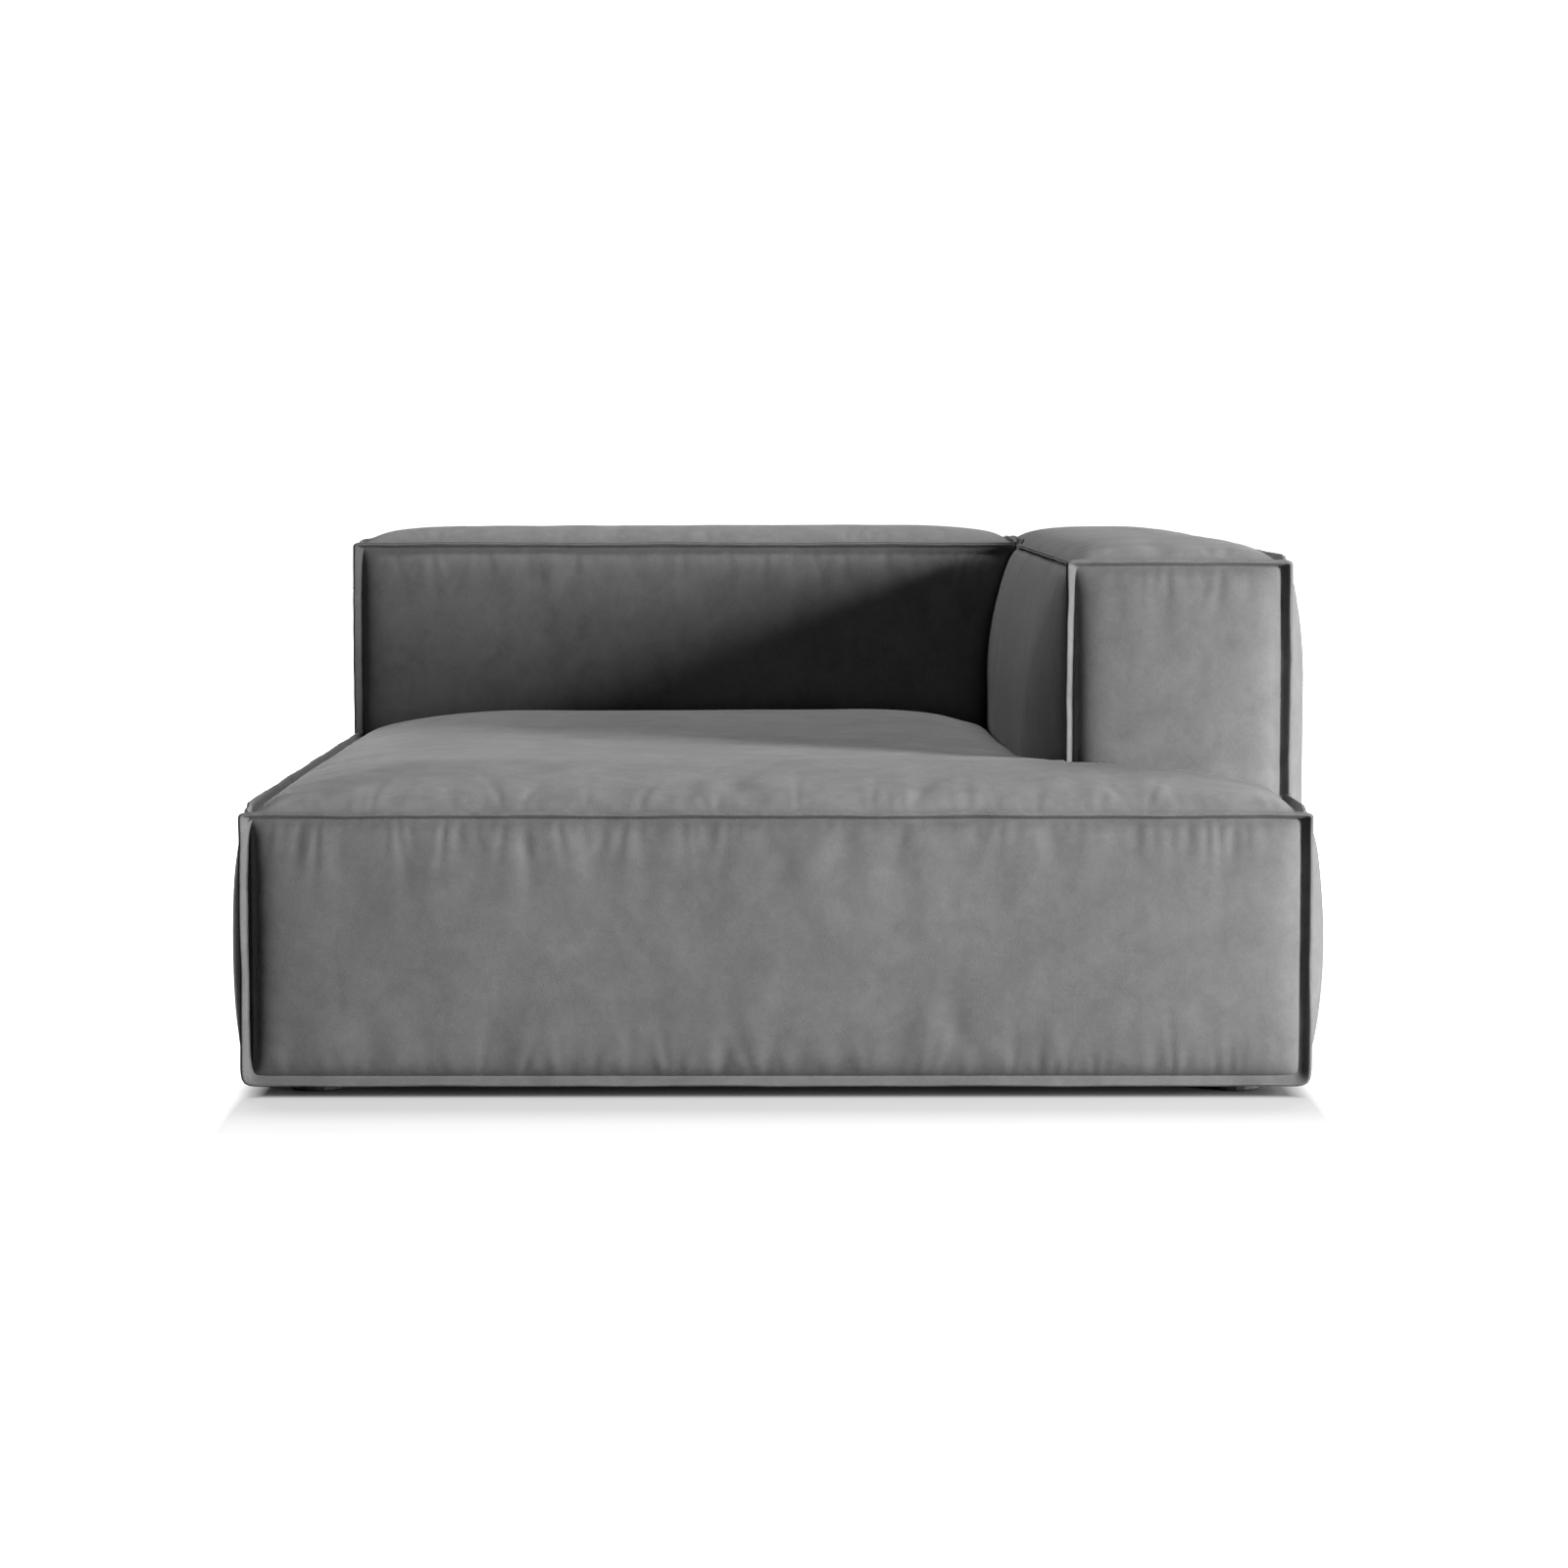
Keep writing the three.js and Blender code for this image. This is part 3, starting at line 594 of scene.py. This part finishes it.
def settle(points, faces, distance, pressed):
    """Cloth simulation: the cover is sewn down along its seams, lies on soft filling, and has some
    slack beside the seams, which gathers. pressed says where another block holds it still."""
    piece = make_mesh("settling_cover", points, faces.tolist())
    held = FILLING_HOLD + (1 - FILLING_HOLD) * np.exp(-distance / SEAM_HOLD_REACH)
    held = np.where(pressed | (distance < SEWN), 1.0, held)
    slack = np.exp(-(distance / SLACK_REACH) ** 2)
    for name, weights in (("held", held), ("slack", slack)):
        group = piece.vertex_groups.new(name=name)
        for index, weight in enumerate(weights.tolist()):
            group.add([index], weight, "REPLACE")
    modifier = piece.modifiers.new("cloth", "CLOTH")
    cloth = modifier.settings
    cloth.quality = 4
    cloth.mass = 0.3
    cloth.tension_stiffness = cloth.compression_stiffness = 20
    cloth.shear_stiffness = 8
    cloth.bending_stiffness = 0.3
    cloth.tension_damping = cloth.compression_damping = cloth.shear_damping = 10
    cloth.air_damping = 3
    cloth.vertex_group_mass = "held"
    cloth.pin_stiffness = 8
    cloth.vertex_group_shrink = "slack"
    cloth.shrink_min = 0.0
    cloth.shrink_max = -SLACK
    cloth.use_pressure = True
    cloth.uniform_pressure_force = 1.0
    cloth.effector_weights.gravity = 0
    modifier.collision_settings.use_collision = False
    modifier.point_cache.frame_end = SETTLE_FRAMES
    scene = bpy.context.scene
    for number in range(1, SETTLE_FRAMES + 1):
        scene.frame_set(number)
    settled = piece.evaluated_get(bpy.context.evaluated_depsgraph_get())
    found = np.empty(len(points) * 3)
    settled.data.vertices.foreach_get("co", found)
    move = found.reshape(-1, 3) - points
    length = np.linalg.norm(move, axis=1)
    scale = MOST_MOVE * np.tanh(length / MOST_MOVE) / np.maximum(length, NO_MOVE)
    mesh = piece.data
    bpy.data.objects.remove(piece)
    bpy.data.meshes.remove(mesh)
    scene.frame_set(1)
    return points + move * scale[:, None]


# ---------- the three blocks ----------

def above_seat(z):
    """0 low down, where the blocks are pressed flat against each other, and 1 over the seat."""
    return smooth((z - PRESSED_TO) / FREE_OVER)


def near_end(value, end, length):
    """0 until length before the end of a face, and 1 on the end itself."""
    return smooth((value - (end - length)) / length)


def arm_inner_push(y, z):
    """How far the arm's inner face swells over the seat. The end of the back presses it flat."""
    along = rise(y - ARM_FRONT) * (1 - smooth((y - BACK_FRONT) / ARM_FLATTENS))
    return ARM_BULGE * along * rise(BLOCK_TOP - z, ARM_INNER_RISE) * above_seat(z)


def arm_front_push(x, z):
    """How far the arm's front face swells over the seat."""
    reach = (RIGHT - ARM_INNER) / 2
    across = rise(x - ARM_INNER, reach) * rise(RIGHT - x, reach)
    return ARM_FRONT_BULGE * across * rise(BLOCK_TOP - z) * above_seat(z)


def back_front_push(x, z):
    """How far the back's front face swells over the seat."""
    across = rise(x - LEFT) * rise(ARM_INNER + BEHIND_ARM - x)
    return (FRONT_BULGE - PUFF) * across * rise(BLOCK_TOP - z) * above_seat(z)


RIGHT_RISE = 0.27           # the seat's crown rises over this distance from its right side
ARM_FALL = 1.7              # its fall towards the arm grows over this distance behind the arm's front
AT_BACK = 0.83              # share of the crown's height that is left where it meets the back
AT_BACK_REACH = 0.12
SEAT_GOES_ON = 0.2          # the seat's top puffs up as if it went on this far behind that line
SEAT_X = (LEFT + SEAM, RIGHT - SEAM)       # root lines of its left and right seams
SEAT_Y = (FRONT + SEAM, BACK_FRONT)
PUSHED_BY_ARM_SIDE = 0.16   # how far into the seat its neighbours' bulges are felt
PUSHED_BY_ARM_FRONT = 0.10
PUSHED_BY_BACK = 0.14
PUSHED_BY_ARM = 0.12        # the same in the right end of the back
CLOSE = 0.02                # a cover is held still this close to a neighbouring block
BACK_END_CLOSE = 0.03
FLATTENED = 0.35            # share of the arm's inner skin that the end of the back leaves
BEHIND_BACK_FRONT = 0.05    # it is pressed down to that over this distance


def seat_top_swell(x, y):
    """Height of the seat's crown. It falls towards the arm, the more so the further back, and a
    little where it meets the back."""
    share = rise(x - SEAT_X[0]) * rise(SEAT_X[1] - x, RIGHT_RISE) * rise(y - SEAT_Y[0])
    beside_arm = rise(y - ARM_FRONT, ARM_FALL)
    share = share * (1 - beside_arm * (1 - rise(ARM_INNER - x)))
    before_back = smooth((BACK_FRONT - y) / AT_BACK_REACH)
    return (SEAT_CROWN - PUFF) * share * (AT_BACK + (1 - AT_BACK) * before_back)


def seat_surface():
    """The flat-sided seat. Its plan is a rectangle less the corner where the arm stands."""
    xs = grid_lines(0, *SEAT_X, [ARM_SKIN])
    ys = grid_lines(1, *SEAT_Y, [ARM_FRONT])
    zs = grid_lines(2, BASE, SEAT_TOP)
    middle_x, middle_y = (xs[1:] + xs[:-1]) / 2, (ys[1:] + ys[:-1]) / 2
    filled = ~((middle_x[:, None] > ARM_SKIN) & (middle_y[None, :] > ARM_FRONT))
    last_x, last_y = len(xs) - 1, len(ys) - 1
    corner_x, corner_y = np.searchsorted(xs, ARM_SKIN - TINY), np.searchsorted(ys, ARM_FRONT - TINY)
    outline = [(0, 0), (last_x, 0), (last_x, corner_y), (corner_x, corner_y), (corner_x, last_y),
               (0, last_y)]
    return box_surface(xs, ys, zs, filled, outline)


def seat_wall_distance(x, y):
    """Distance from the blocks that stand against the seat."""
    side = np.where(y > ARM_FRONT - TINY, np.abs(ARM_SKIN - x), 1.0)
    front = np.where(x > ARM_SKIN - TINY, np.abs(ARM_FRONT - y), 1.0)
    return np.minimum(np.minimum(side, front), SEAT_Y[1] - y)


def fill_seat(points, wall):
    """The seat's surface with its top and its free sides swollen."""
    x, y, z = points.T
    moved = points.copy()
    top = z > SEAT_TOP - TINY
    height = skin_height(points[top], (0, *SEAT_X), (1, SEAT_Y[0], SEAT_Y[1] + SEAT_GOES_ON),
                         {"low_b": 0.8, "low_a": 0.6}, seed=3)
    tucked = TUCK * np.exp(-wall[top] / TUCK_REACH)
    moved[top, 2] += height + seat_top_swell(x[top], y[top]) - tucked
    up = (2, BASE, SEAT_TOP)
    front = y < SEAT_Y[0] + TINY
    moved[front, 1] -= swollen(points[front], (0, *SEAT_X), up, FRONT_BULGE,
                               {"low_b": 0.8, "high_b": 1.0, "low_a": 0.5}, seed=4)
    left = x < SEAT_X[0] + TINY
    moved[left, 0] -= swollen(points[left], (1, *SEAT_Y), up, SIDE_BULGE,
                              {"low_b": 0.8, "high_b": 1.0}, seed=5)
    right = (x > SEAT_X[1] - TINY) & (y < ARM_FRONT + TINY)
    moved[right, 0] += swollen(points[right], (1, SEAT_Y[0], ARM_FRONT), up, RETURN_BULGE,
                               {"low_b": 0.8, "high_b": 1.0}, seed=6)
    return moved


def push_seat(points, moved):
    """Moves the swollen seat out of the way of the bulges of the arm and the back."""
    x, y, z = points.T
    beside = (y > ARM_FRONT - TINY) & (x < ARM_SKIN + TINY)
    pull = near_end(x, ARM_SKIN, PUSHED_BY_ARM_SIDE)
    moved[:, 0] -= np.where(beside, arm_inner_push(y, moved[:, 2]) * pull, 0)
    moved[:, 0] -= np.where(beside & (x > ARM_SKIN - TINY), CONTACT_GAP, 0)
    before = x > ARM_SKIN + TINY
    pull = near_end(y, ARM_FRONT, PUSHED_BY_ARM_FRONT)
    pushed = arm_front_push(x, moved[:, 2]) + PUFF * above_seat(z)
    moved[:, 1] -= np.where(before, pushed * pull, 0)
    moved[:, 1] -= np.where(before & (y > ARM_FRONT - TINY), CONTACT_GAP, 0)
    pull = near_end(y, SEAT_Y[1], PUSHED_BY_BACK)
    pushed = back_front_push(x, moved[:, 2]) + PUFF * above_seat(z)
    moved[:, 1] -= pushed * pull + CONTACT_GAP * (y > SEAT_Y[1] - TINY)


def seat_block(cloth):
    points, faces, rim = seat_surface()
    wall = seat_wall_distance(points[:, 0], points[:, 1])
    moved = fill_seat(points, wall)
    push_seat(points, moved)
    low = (SEAT_X[0], SEAT_Y[0], BASE)
    high = (SEAT_X[1], SEAT_Y[1] + SEAT_GOES_ON, SEAT_TOP)
    moved = settle(moved, faces, seam_distance(points, low, high), pressed=wall < PRESSED_REACH)
    return upholstery("seat_upholstery", moved, faces, rim, cloth)


def block_surface(low, high):
    """A plain box from low to high, and which of its points lie on each of its faces."""
    lines = [grid_lines(axis, low[axis], high[axis]) for axis in range(3)]
    last_x, last_y = len(lines[0]) - 1, len(lines[1]) - 1
    outline = [(0, 0), (last_x, 0), (last_x, last_y), (0, last_y)]
    points, faces, rim = box_surface(*lines, np.ones((last_x, last_y), bool), outline)
    near = {(axis, end): np.abs(points[:, axis] - place) < TINY
            for end, places in (("low", low), ("high", high))
            for axis, place in enumerate(places)}
    return points, faces, rim, near


def back_block(cloth):
    low = (LEFT + SEAM, BACK_FRONT + SEAM, BASE)
    high = (BACK_ROOT, REAR - SEAM, BLOCK_TOP)
    points, faces, rim, near = block_surface(low, high)
    x, y, z = points.T.copy()
    moved = points.copy()
    across, deep, up = [(i, low[i], high[i]) for i in range(3)]

    top = near[2, "high"]
    moved[top, 2] += swollen(points[top], across, deep, BACK_CROWN,
                             {"low_b": 0.9, "high_b": 0.8}, seed=13, reach=BACK_TOP_REACH)
    front = near[1, "low"]
    skin = skin_height(points[front], across, up, {"high_b": 1.0}, seed=14)
    moved[front, 1] -= skin + back_front_push(x[front], z[front])
    rear = near[1, "high"]
    moved[rear, 1] += swollen(points[rear], across, up, FRONT_BULGE,
                              {"high_b": 1.0, "low_b": 0.8}, seed=15)
    left = near[0, "low"]
    moved[left, 0] -= swollen(points[left], deep, up, BACK_END_BULGE,
                              {"high_b": 1.0, "low_b": 0.8}, seed=16, puff=BACK_END_PUFF)
    moved[:, 0] -= arm_inner_push(y, z) * near_end(x, high[0], PUSHED_BY_ARM)
    behind_seat = (y < low[1] + CLOSE) & (z < SEAT_SEAM_Z + CLOSE)
    pressed = (x > high[0] - BACK_END_CLOSE) | behind_seat
    moved = settle(moved, faces, seam_distance(points, low, high), pressed)
    return upholstery("back_upholstery", moved, faces, rim, cloth)


def arm_block(cloth):
    low = (ARM_ROOT, ARM_FRONT + SEAM, BASE)
    high = (RIGHT - SEAM, REAR - SEAM, BLOCK_TOP)
    points, faces, rim, near = block_surface(low, high)
    x, y, z = points.T.copy()
    moved = points.copy()
    across, deep, up = [(i, low[i], high[i]) for i in range(3)]

    top = near[2, "high"]
    moved[top, 2] += swollen(points[top], across, deep, ARM_CROWN,
                             {"low_b": 0.9, "low_a": 0.8, "high_a": 0.8}, seed=23,
                             reach=ARM_TOP_REACH)
    front = near[1, "low"]
    skin = skin_height(points[front], across, up, {"high_b": 1.0}, seed=24)
    moved[front, 1] -= skin + arm_front_push(x[front], z[front])
    rear = near[1, "high"]
    moved[rear, 1] += swollen(points[rear], across, up, FRONT_BULGE,
                              {"high_b": 1.0, "low_b": 0.8}, seed=25)
    left = near[0, "low"]
    skin = skin_height(points[left], deep, up, {"high_b": 0.2}, seed=26, puff=0)
    free = 1 - smooth((y[left] - BACK_FRONT) / BEHIND_BACK_FRONT)
    skin = skin * (FLATTENED + (1 - FLATTENED) * free)
    moved[left, 0] -= skin + arm_inner_push(y[left], z[left])
    right = near[0, "high"]
    moved[right, 0] += swollen(points[right], deep, up, ARM_BULGE,
                               {"high_b": 1.0, "low_b": 0.8}, seed=27, reach=ARM_SIDE_REACH)
    inner = x < low[0] + CLOSE
    beside_seat = ((y < low[1] + CLOSE) | inner) & (z < SEAT_SEAM_Z + CLOSE)
    beside_back = inner & (y > BACK_FRONT - CLOSE)
    moved = settle(moved, faces, seam_distance(points, low, high), beside_seat | beside_back)
    return upholstery("arm_upholstery", moved, faces, rim, cloth)


# ---------- flanged seams ----------

# Section of a flange: share of its width from the root, and share of half its thickness. It is wide
# at the root, where both faces curve into it, and narrow at the stitches. The two layers of cloth
# end in two lips with a groove between them.
LIP = [(-0.35, 1.1), (-0.1, 0.9), (0.1, 0.68), (0.22, 0.6), (0.36, 0.7), (0.55, 0.85), (0.82, 0.98),
       (0.94, 0.94), (1.0, 0.7), (0.99, 0.34)]
GROOVE = (0.80, 0.0)
FLANGE_SECTION = LIP + [GROOVE] + [(p, -q) for p, q in LIP[::-1]]

X, Y, Z = np.eye(3)
FRONT_TOP = 0.5 * Z - 0.8 * Y       # how the flanges stand out from their root lines
FRONT_BASE = -0.88 * Z - 0.42 * Y
FRONT_LEFT = -X - 0.75 * Y
FRONT_RIGHT = X - 0.75 * Y
REAR_TOP = 0.8 * Z + 0.8 * Y
REAR_BASE = -0.8 * Z + 0.8 * Y
REAR_LEFT = -X + 0.75 * Y
REAR_RIGHT = X + 0.75 * Y
SEAT_TOP_LEFT = 1.25 * Z - 0.65 * X
BACK_TOP_LEFT = 0.75 * Z - 0.5 * X
ARM_TOP_LEFT = 0.25 * Z - 0.6 * X
TOP_RIGHT = Z + 0.55 * X
BASE_LEFT = -0.75 * X - 0.75 * Z
BASE_RIGHT = 0.75 * X - 0.75 * Z
BETWEEN_BLOCKS = 1.1 * Z

TILT = 0.16                     # how much a flange leans to and fro along its run
WIDTH_CHANGE = 0.06             # and how much its width changes
SEAM_WAVES = (0.31, 0.17, 0.09, 0.05)
WAVES_FADE = 0.03               # both fade out over this distance from the ends of the run
TAPER = 0.4                     # share of its width that an open end loses
TAPER_REACH = 0.004
TIGHT = 0.003                   # radii of the corners of a run
WIDE = 0.011
ARC_STEPS = 6
SQUARE = 1.25                   # how far the tip of a flange fills a corner: 1 is a round one
START_INSIDE = 0.004            # a side flange starts this far into the lips of the front one
START_RISE = 0.03               # and stands at its full height from about here on
START_SHARE = 0.72              # share of its height that it starts with


def turned(before, after, facing, share):
    """The outward direction part of the way round a corner, from one side's to the next one's. It
    keeps its reach in the plane across facing."""
    flat_before, flat_after = before - facing * (before @ facing), after - facing * (after @ facing)
    angle = share * math.pi / 2
    level = (1 - share) * (before @ facing) + share * (after @ facing)
    share_before, share_after = min(1, SQUARE * math.cos(angle)), min(1, SQUARE * math.sin(angle))
    return share_before * flat_before + share_after * flat_after + level * facing


def seam_path(corners, outs, radii, closed=False):
    """Root points and outward directions along a run of straight sides with rounded corners. outs
    has a direction for each side, and radii a radius for each corner between two sides."""
    corners = [np.array(corner, float) for corner in corners]
    ends = corners + corners[:1] if closed else corners
    sides = len(ends) - 1
    cuts = [*radii, radii[0]] if closed else [0.0, *radii, 0.0]
    roots, outward = [], []
    for side in range(sides):
        run = ends[side + 1] - ends[side]
        length = np.linalg.norm(run)
        run = run / length
        first, last = cuts[side], length - cuts[side + 1]
        count = max(2, round((last - first) / GRID[2]))
        for place in np.linspace(first, last, count + 1):
            roots.append(ends[side] + run * place)
            outward.append(outs[side])
        if side == sides - 1 and not closed:
            break
        corner, after = ends[side + 1], (side + 1) % sides
        next_run = ends[(after + 1) % len(ends)] - corner
        next_run = next_run / np.linalg.norm(next_run)
        start, end = corner - run * cuts[side + 1], corner + next_run * cuts[side + 1]
        facing = np.cross(run, next_run)
        bend = np.linalg.norm(facing)       # 0 where the run goes straight on
        for step in range(1, ARC_STEPS):
            t = step / ARC_STEPS
            roots.append((1 - t) ** 2 * start + 2 * t * (1 - t) * corner + t * t * end)
            if bend > TINY:
                outward.append(turned(outs[side], outs[after], facing / bend, t))
            else:
                outward.append((1 - t) * outs[side] + t * outs[after])
    if closed:
        roots.append(roots[0])
        outward.append(outward[0])
    return np.array(roots), np.array(outward)


class Seams:
    """Collects the flanges of one block into one mesh."""

    def __init__(self, seed):
        self.points, self.faces, self.count = [], [], 0
        self.draw = np.random.default_rng(seed)

    def waves(self, along, length, size):
        """A slow random wander that dies away at both ends."""
        total = np.zeros_like(along)
        for wavelength in SEAM_WAVES:
            phase = self.draw.uniform(0, 2 * math.pi)
            amount = self.draw.uniform(0.4, 1.0) * wavelength ** 0.7
            total += amount * np.sin(2 * math.pi * along / wavelength + phase)
        ends = smooth(along / WAVES_FADE) * smooth((length - along) / WAVES_FADE)
        return size * total * ends

    def run(self, corners, outs, radii=(), closed=False):
        """A flange along a run of straight sides with rounded corners."""
        root, outward = seam_path(corners, outs, radii, closed)
        steps = np.linalg.norm(np.diff(root, axis=0), axis=1)
        along = np.concatenate([[0.0], np.cumsum(steps)])
        length = along[-1]
        axis = np.gradient(root, axis=0)
        if closed:
            axis[0] = axis[-1] = axis[0] + axis[-1]
        axis /= np.linalg.norm(axis, axis=1)[:, None]
        across = np.cross(axis, outward)
        tilt = self.waves(along, length, TILT)
        width = 1 + self.waves(along, length, WIDTH_CHANGE)
        if not closed:
            near_an_end = np.exp(-along / TAPER_REACH) + np.exp((along - length) / TAPER_REACH)
            width *= 1 - TAPER * near_an_end
        tip = root + FLANGE * (outward + tilt[:, None] * across) * width[:, None]
        normal = np.cross(axis, tip - root)
        normal /= np.linalg.norm(normal, axis=1)[:, None]
        rings = [root + (tip - root) * p + normal * q * FLANGE_THICK / 2
                 for p, q in FLANGE_SECTION]
        points = np.stack(rings, axis=1)
        rows, size = points.shape[0], points.shape[1]
        i, k = np.meshgrid(np.arange(rows - 1), np.arange(size), indexing="ij")
        a = (i * size + k).ravel()
        b = (i * size + (k + 1) % size).ravel()
        self.points.append(points.reshape(-1, 3))
        self.faces.append(np.stack([a, b, b + size, a + size], axis=1) + self.count)
        self.count += rows * size

    def run_back(self, start, end, out):
        """A side flange that starts low, behind the lips of the front ones, and soon stands up."""
        begin, upright = start - START_INSIDE * Y, start + START_RISE * Y
        self.run([begin, upright, end], [START_SHARE * out, out], [START_RISE / 2])

    def build(self, name, material):
        faces = np.concatenate(self.faces).tolist()
        return make_mesh(name, np.concatenate(self.points), faces, material)


def seat_seams(material):
    seams = Seams(31)
    x0, x1 = SEAT_X
    y0 = SEAT_Y[0]
    arm_y, back_y = ARM_FRONT - 0.004, BACK_FRONT - 0.006      # the flanges end just before these
    arm_z = SEAT_TOP - 0.012
    seams.run([(x0, y0, SEAT_TOP), (x0, y0, BASE), (x1, y0, BASE), (x1, y0, SEAT_TOP)],
              [FRONT_LEFT, FRONT_BASE, FRONT_RIGHT, FRONT_TOP], [TIGHT, WIDE, WIDE, TIGHT],
              closed=True)
    seams.run_back((x0, y0, SEAT_TOP), (x0, back_y, SEAT_TOP), SEAT_TOP_LEFT)
    seams.run_back((x1, y0, SEAT_TOP), (x1, arm_y, SEAT_TOP), TOP_RIGHT)
    seams.run([(x0, y0, BASE), (x0, back_y, BASE)], [BASE_LEFT])
    seams.run([(x1, y0, BASE), (x1, arm_y, BASE)], [BASE_RIGHT])
    seams.run([(x0, back_y, BASE), (x0, back_y, SEAT_TOP)], [-X])
    seams.run([(x1, arm_y, BASE), (x1, arm_y, arm_z)], [X])
    return seams.build("seat_flanged_seams", material)


def back_seams(material):
    seams = Seams(32)
    x0, x1 = LEFT + SEAM, BACK_ROOT
    y0, y1 = BACK_FRONT + SEAM, REAR - SEAM
    top, base = BLOCK_TOP, BASE
    seams.run([(x0, y0, base), (x0, y0, SEAT_SEAM_Z), (x0, y0, top), (x1, y0, top)],
              [-X, FRONT_LEFT, FRONT_TOP], [TIGHT, TIGHT])
    seams.run([(x0, y1, top), (x0, y1, base), (x1, y1, base), (x1, y1, top)],
              [REAR_LEFT, REAR_BASE, Y, REAR_TOP], [TIGHT, WIDE, TIGHT, TIGHT], closed=True)
    seams.run_back((x0, y0, top), (x0, y1, top), BACK_TOP_LEFT)
    seams.run([(x1, y0, top), (x1, y1, top)], [BETWEEN_BLOCKS])
    seams.run([(x0, y0, base), (x0, y1, base)], [BASE_LEFT])
    return seams.build("back_flanged_seams", material)


def arm_seams(material):
    seams = Seams(33)
    x0, x1 = ARM_ROOT + 0.004, RIGHT - SEAM
    y0, y1 = ARM_FRONT + SEAM, REAR - SEAM
    top, base = BLOCK_TOP, BASE
    back_y = BACK_FRONT - 0.02      # from here on the inner flange stands up, against the back's
    start_y = y0 - 0.003
    seat_z = SEAT_SEAM_Z + 0.02
    seams.run([(x0, y0, seat_z), (x0, y0, top), (x1, y0, top), (x1, y0, SEAT_SEAM_Z), (x1, y0, base)],
              [FRONT_LEFT, FRONT_TOP, FRONT_RIGHT, X], [TIGHT, TIGHT, TIGHT])
    seams.run([(x0, y1, top), (x0, y1, base), (x1, y1, base), (x1, y1, top)],
              [Y, REAR_BASE, REAR_RIGHT, REAR_TOP], [TIGHT, TIGHT, WIDE, TIGHT], closed=True)
    seams.run([(x0, start_y, top), (x0, back_y, top), (x0, y1, top)],
              [ARM_TOP_LEFT, BETWEEN_BLOCKS], [TIGHT])
    seams.run_back((x1, y0, top), (x1, y1, top), TOP_RIGHT)
    seams.run([(x1, y0, base), (x1, y1, base)], [BASE_RIGHT])
    return seams.build("arm_flanged_seams", material)


# ---------- the whole ----------

def upholster():
    cloth = velvet()
    made = [
        (seat_block(cloth), ["seat_cover", "seat_topper", "seat_front_pad", "seat_left_pad",
                              "seat_return_pad"]),
        (back_block(cloth), ["back_cover", "back_foam_jacket"]),
        (arm_block(cloth), ["arm_cover", "arm_foam_jacket"]),
    ]
    for piece, nodes in made:
        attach(piece, "root")
        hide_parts(*nodes)
    for seams in (seat_seams(cloth), back_seams(cloth), arm_seams(cloth)):
        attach(seams, "root")


def dress_nodes():
    """Gives every carried-over CAD node the material of its slot."""
    materials = {
        "foam": foam("foam", (0.80, 0.72, 0.45)),
        "topper": foam("topper", (0.86, 0.85, 0.80)),
        "pine": timber("pine", (0.60, 0.42, 0.22), (1, 1, 8)),
        "plywood": timber("plywood", (0.66, 0.50, 0.30), (1, 1, 6)),
        "webbing": woven("webbing", (0.045, 0.045, 0.05), 500),
        "dust_cloth": woven("dust_cloth", (0.015, 0.015, 0.016), 900),
        "glide": moulded("glide", (0.012, 0.012, 0.012)),
        "steel": steel("steel"),
        "velvet": bpy.data.materials["velvet"],
    }
    slots = {part["node"]: part["material_slot"] for part in frame["record"]["subparts"]}
    for name, node in frame["nodes"].items():
        material = materials[slots[name]]
        if not node.material_slots:
            node.data.materials.append(material)
        for place in node.material_slots:
            place.material = material


bpy.context.scene.view_settings.view_transform = "Standard"
make_camera()
make_lights()
make_world()
make_floor()
upholster()
dress_nodes()
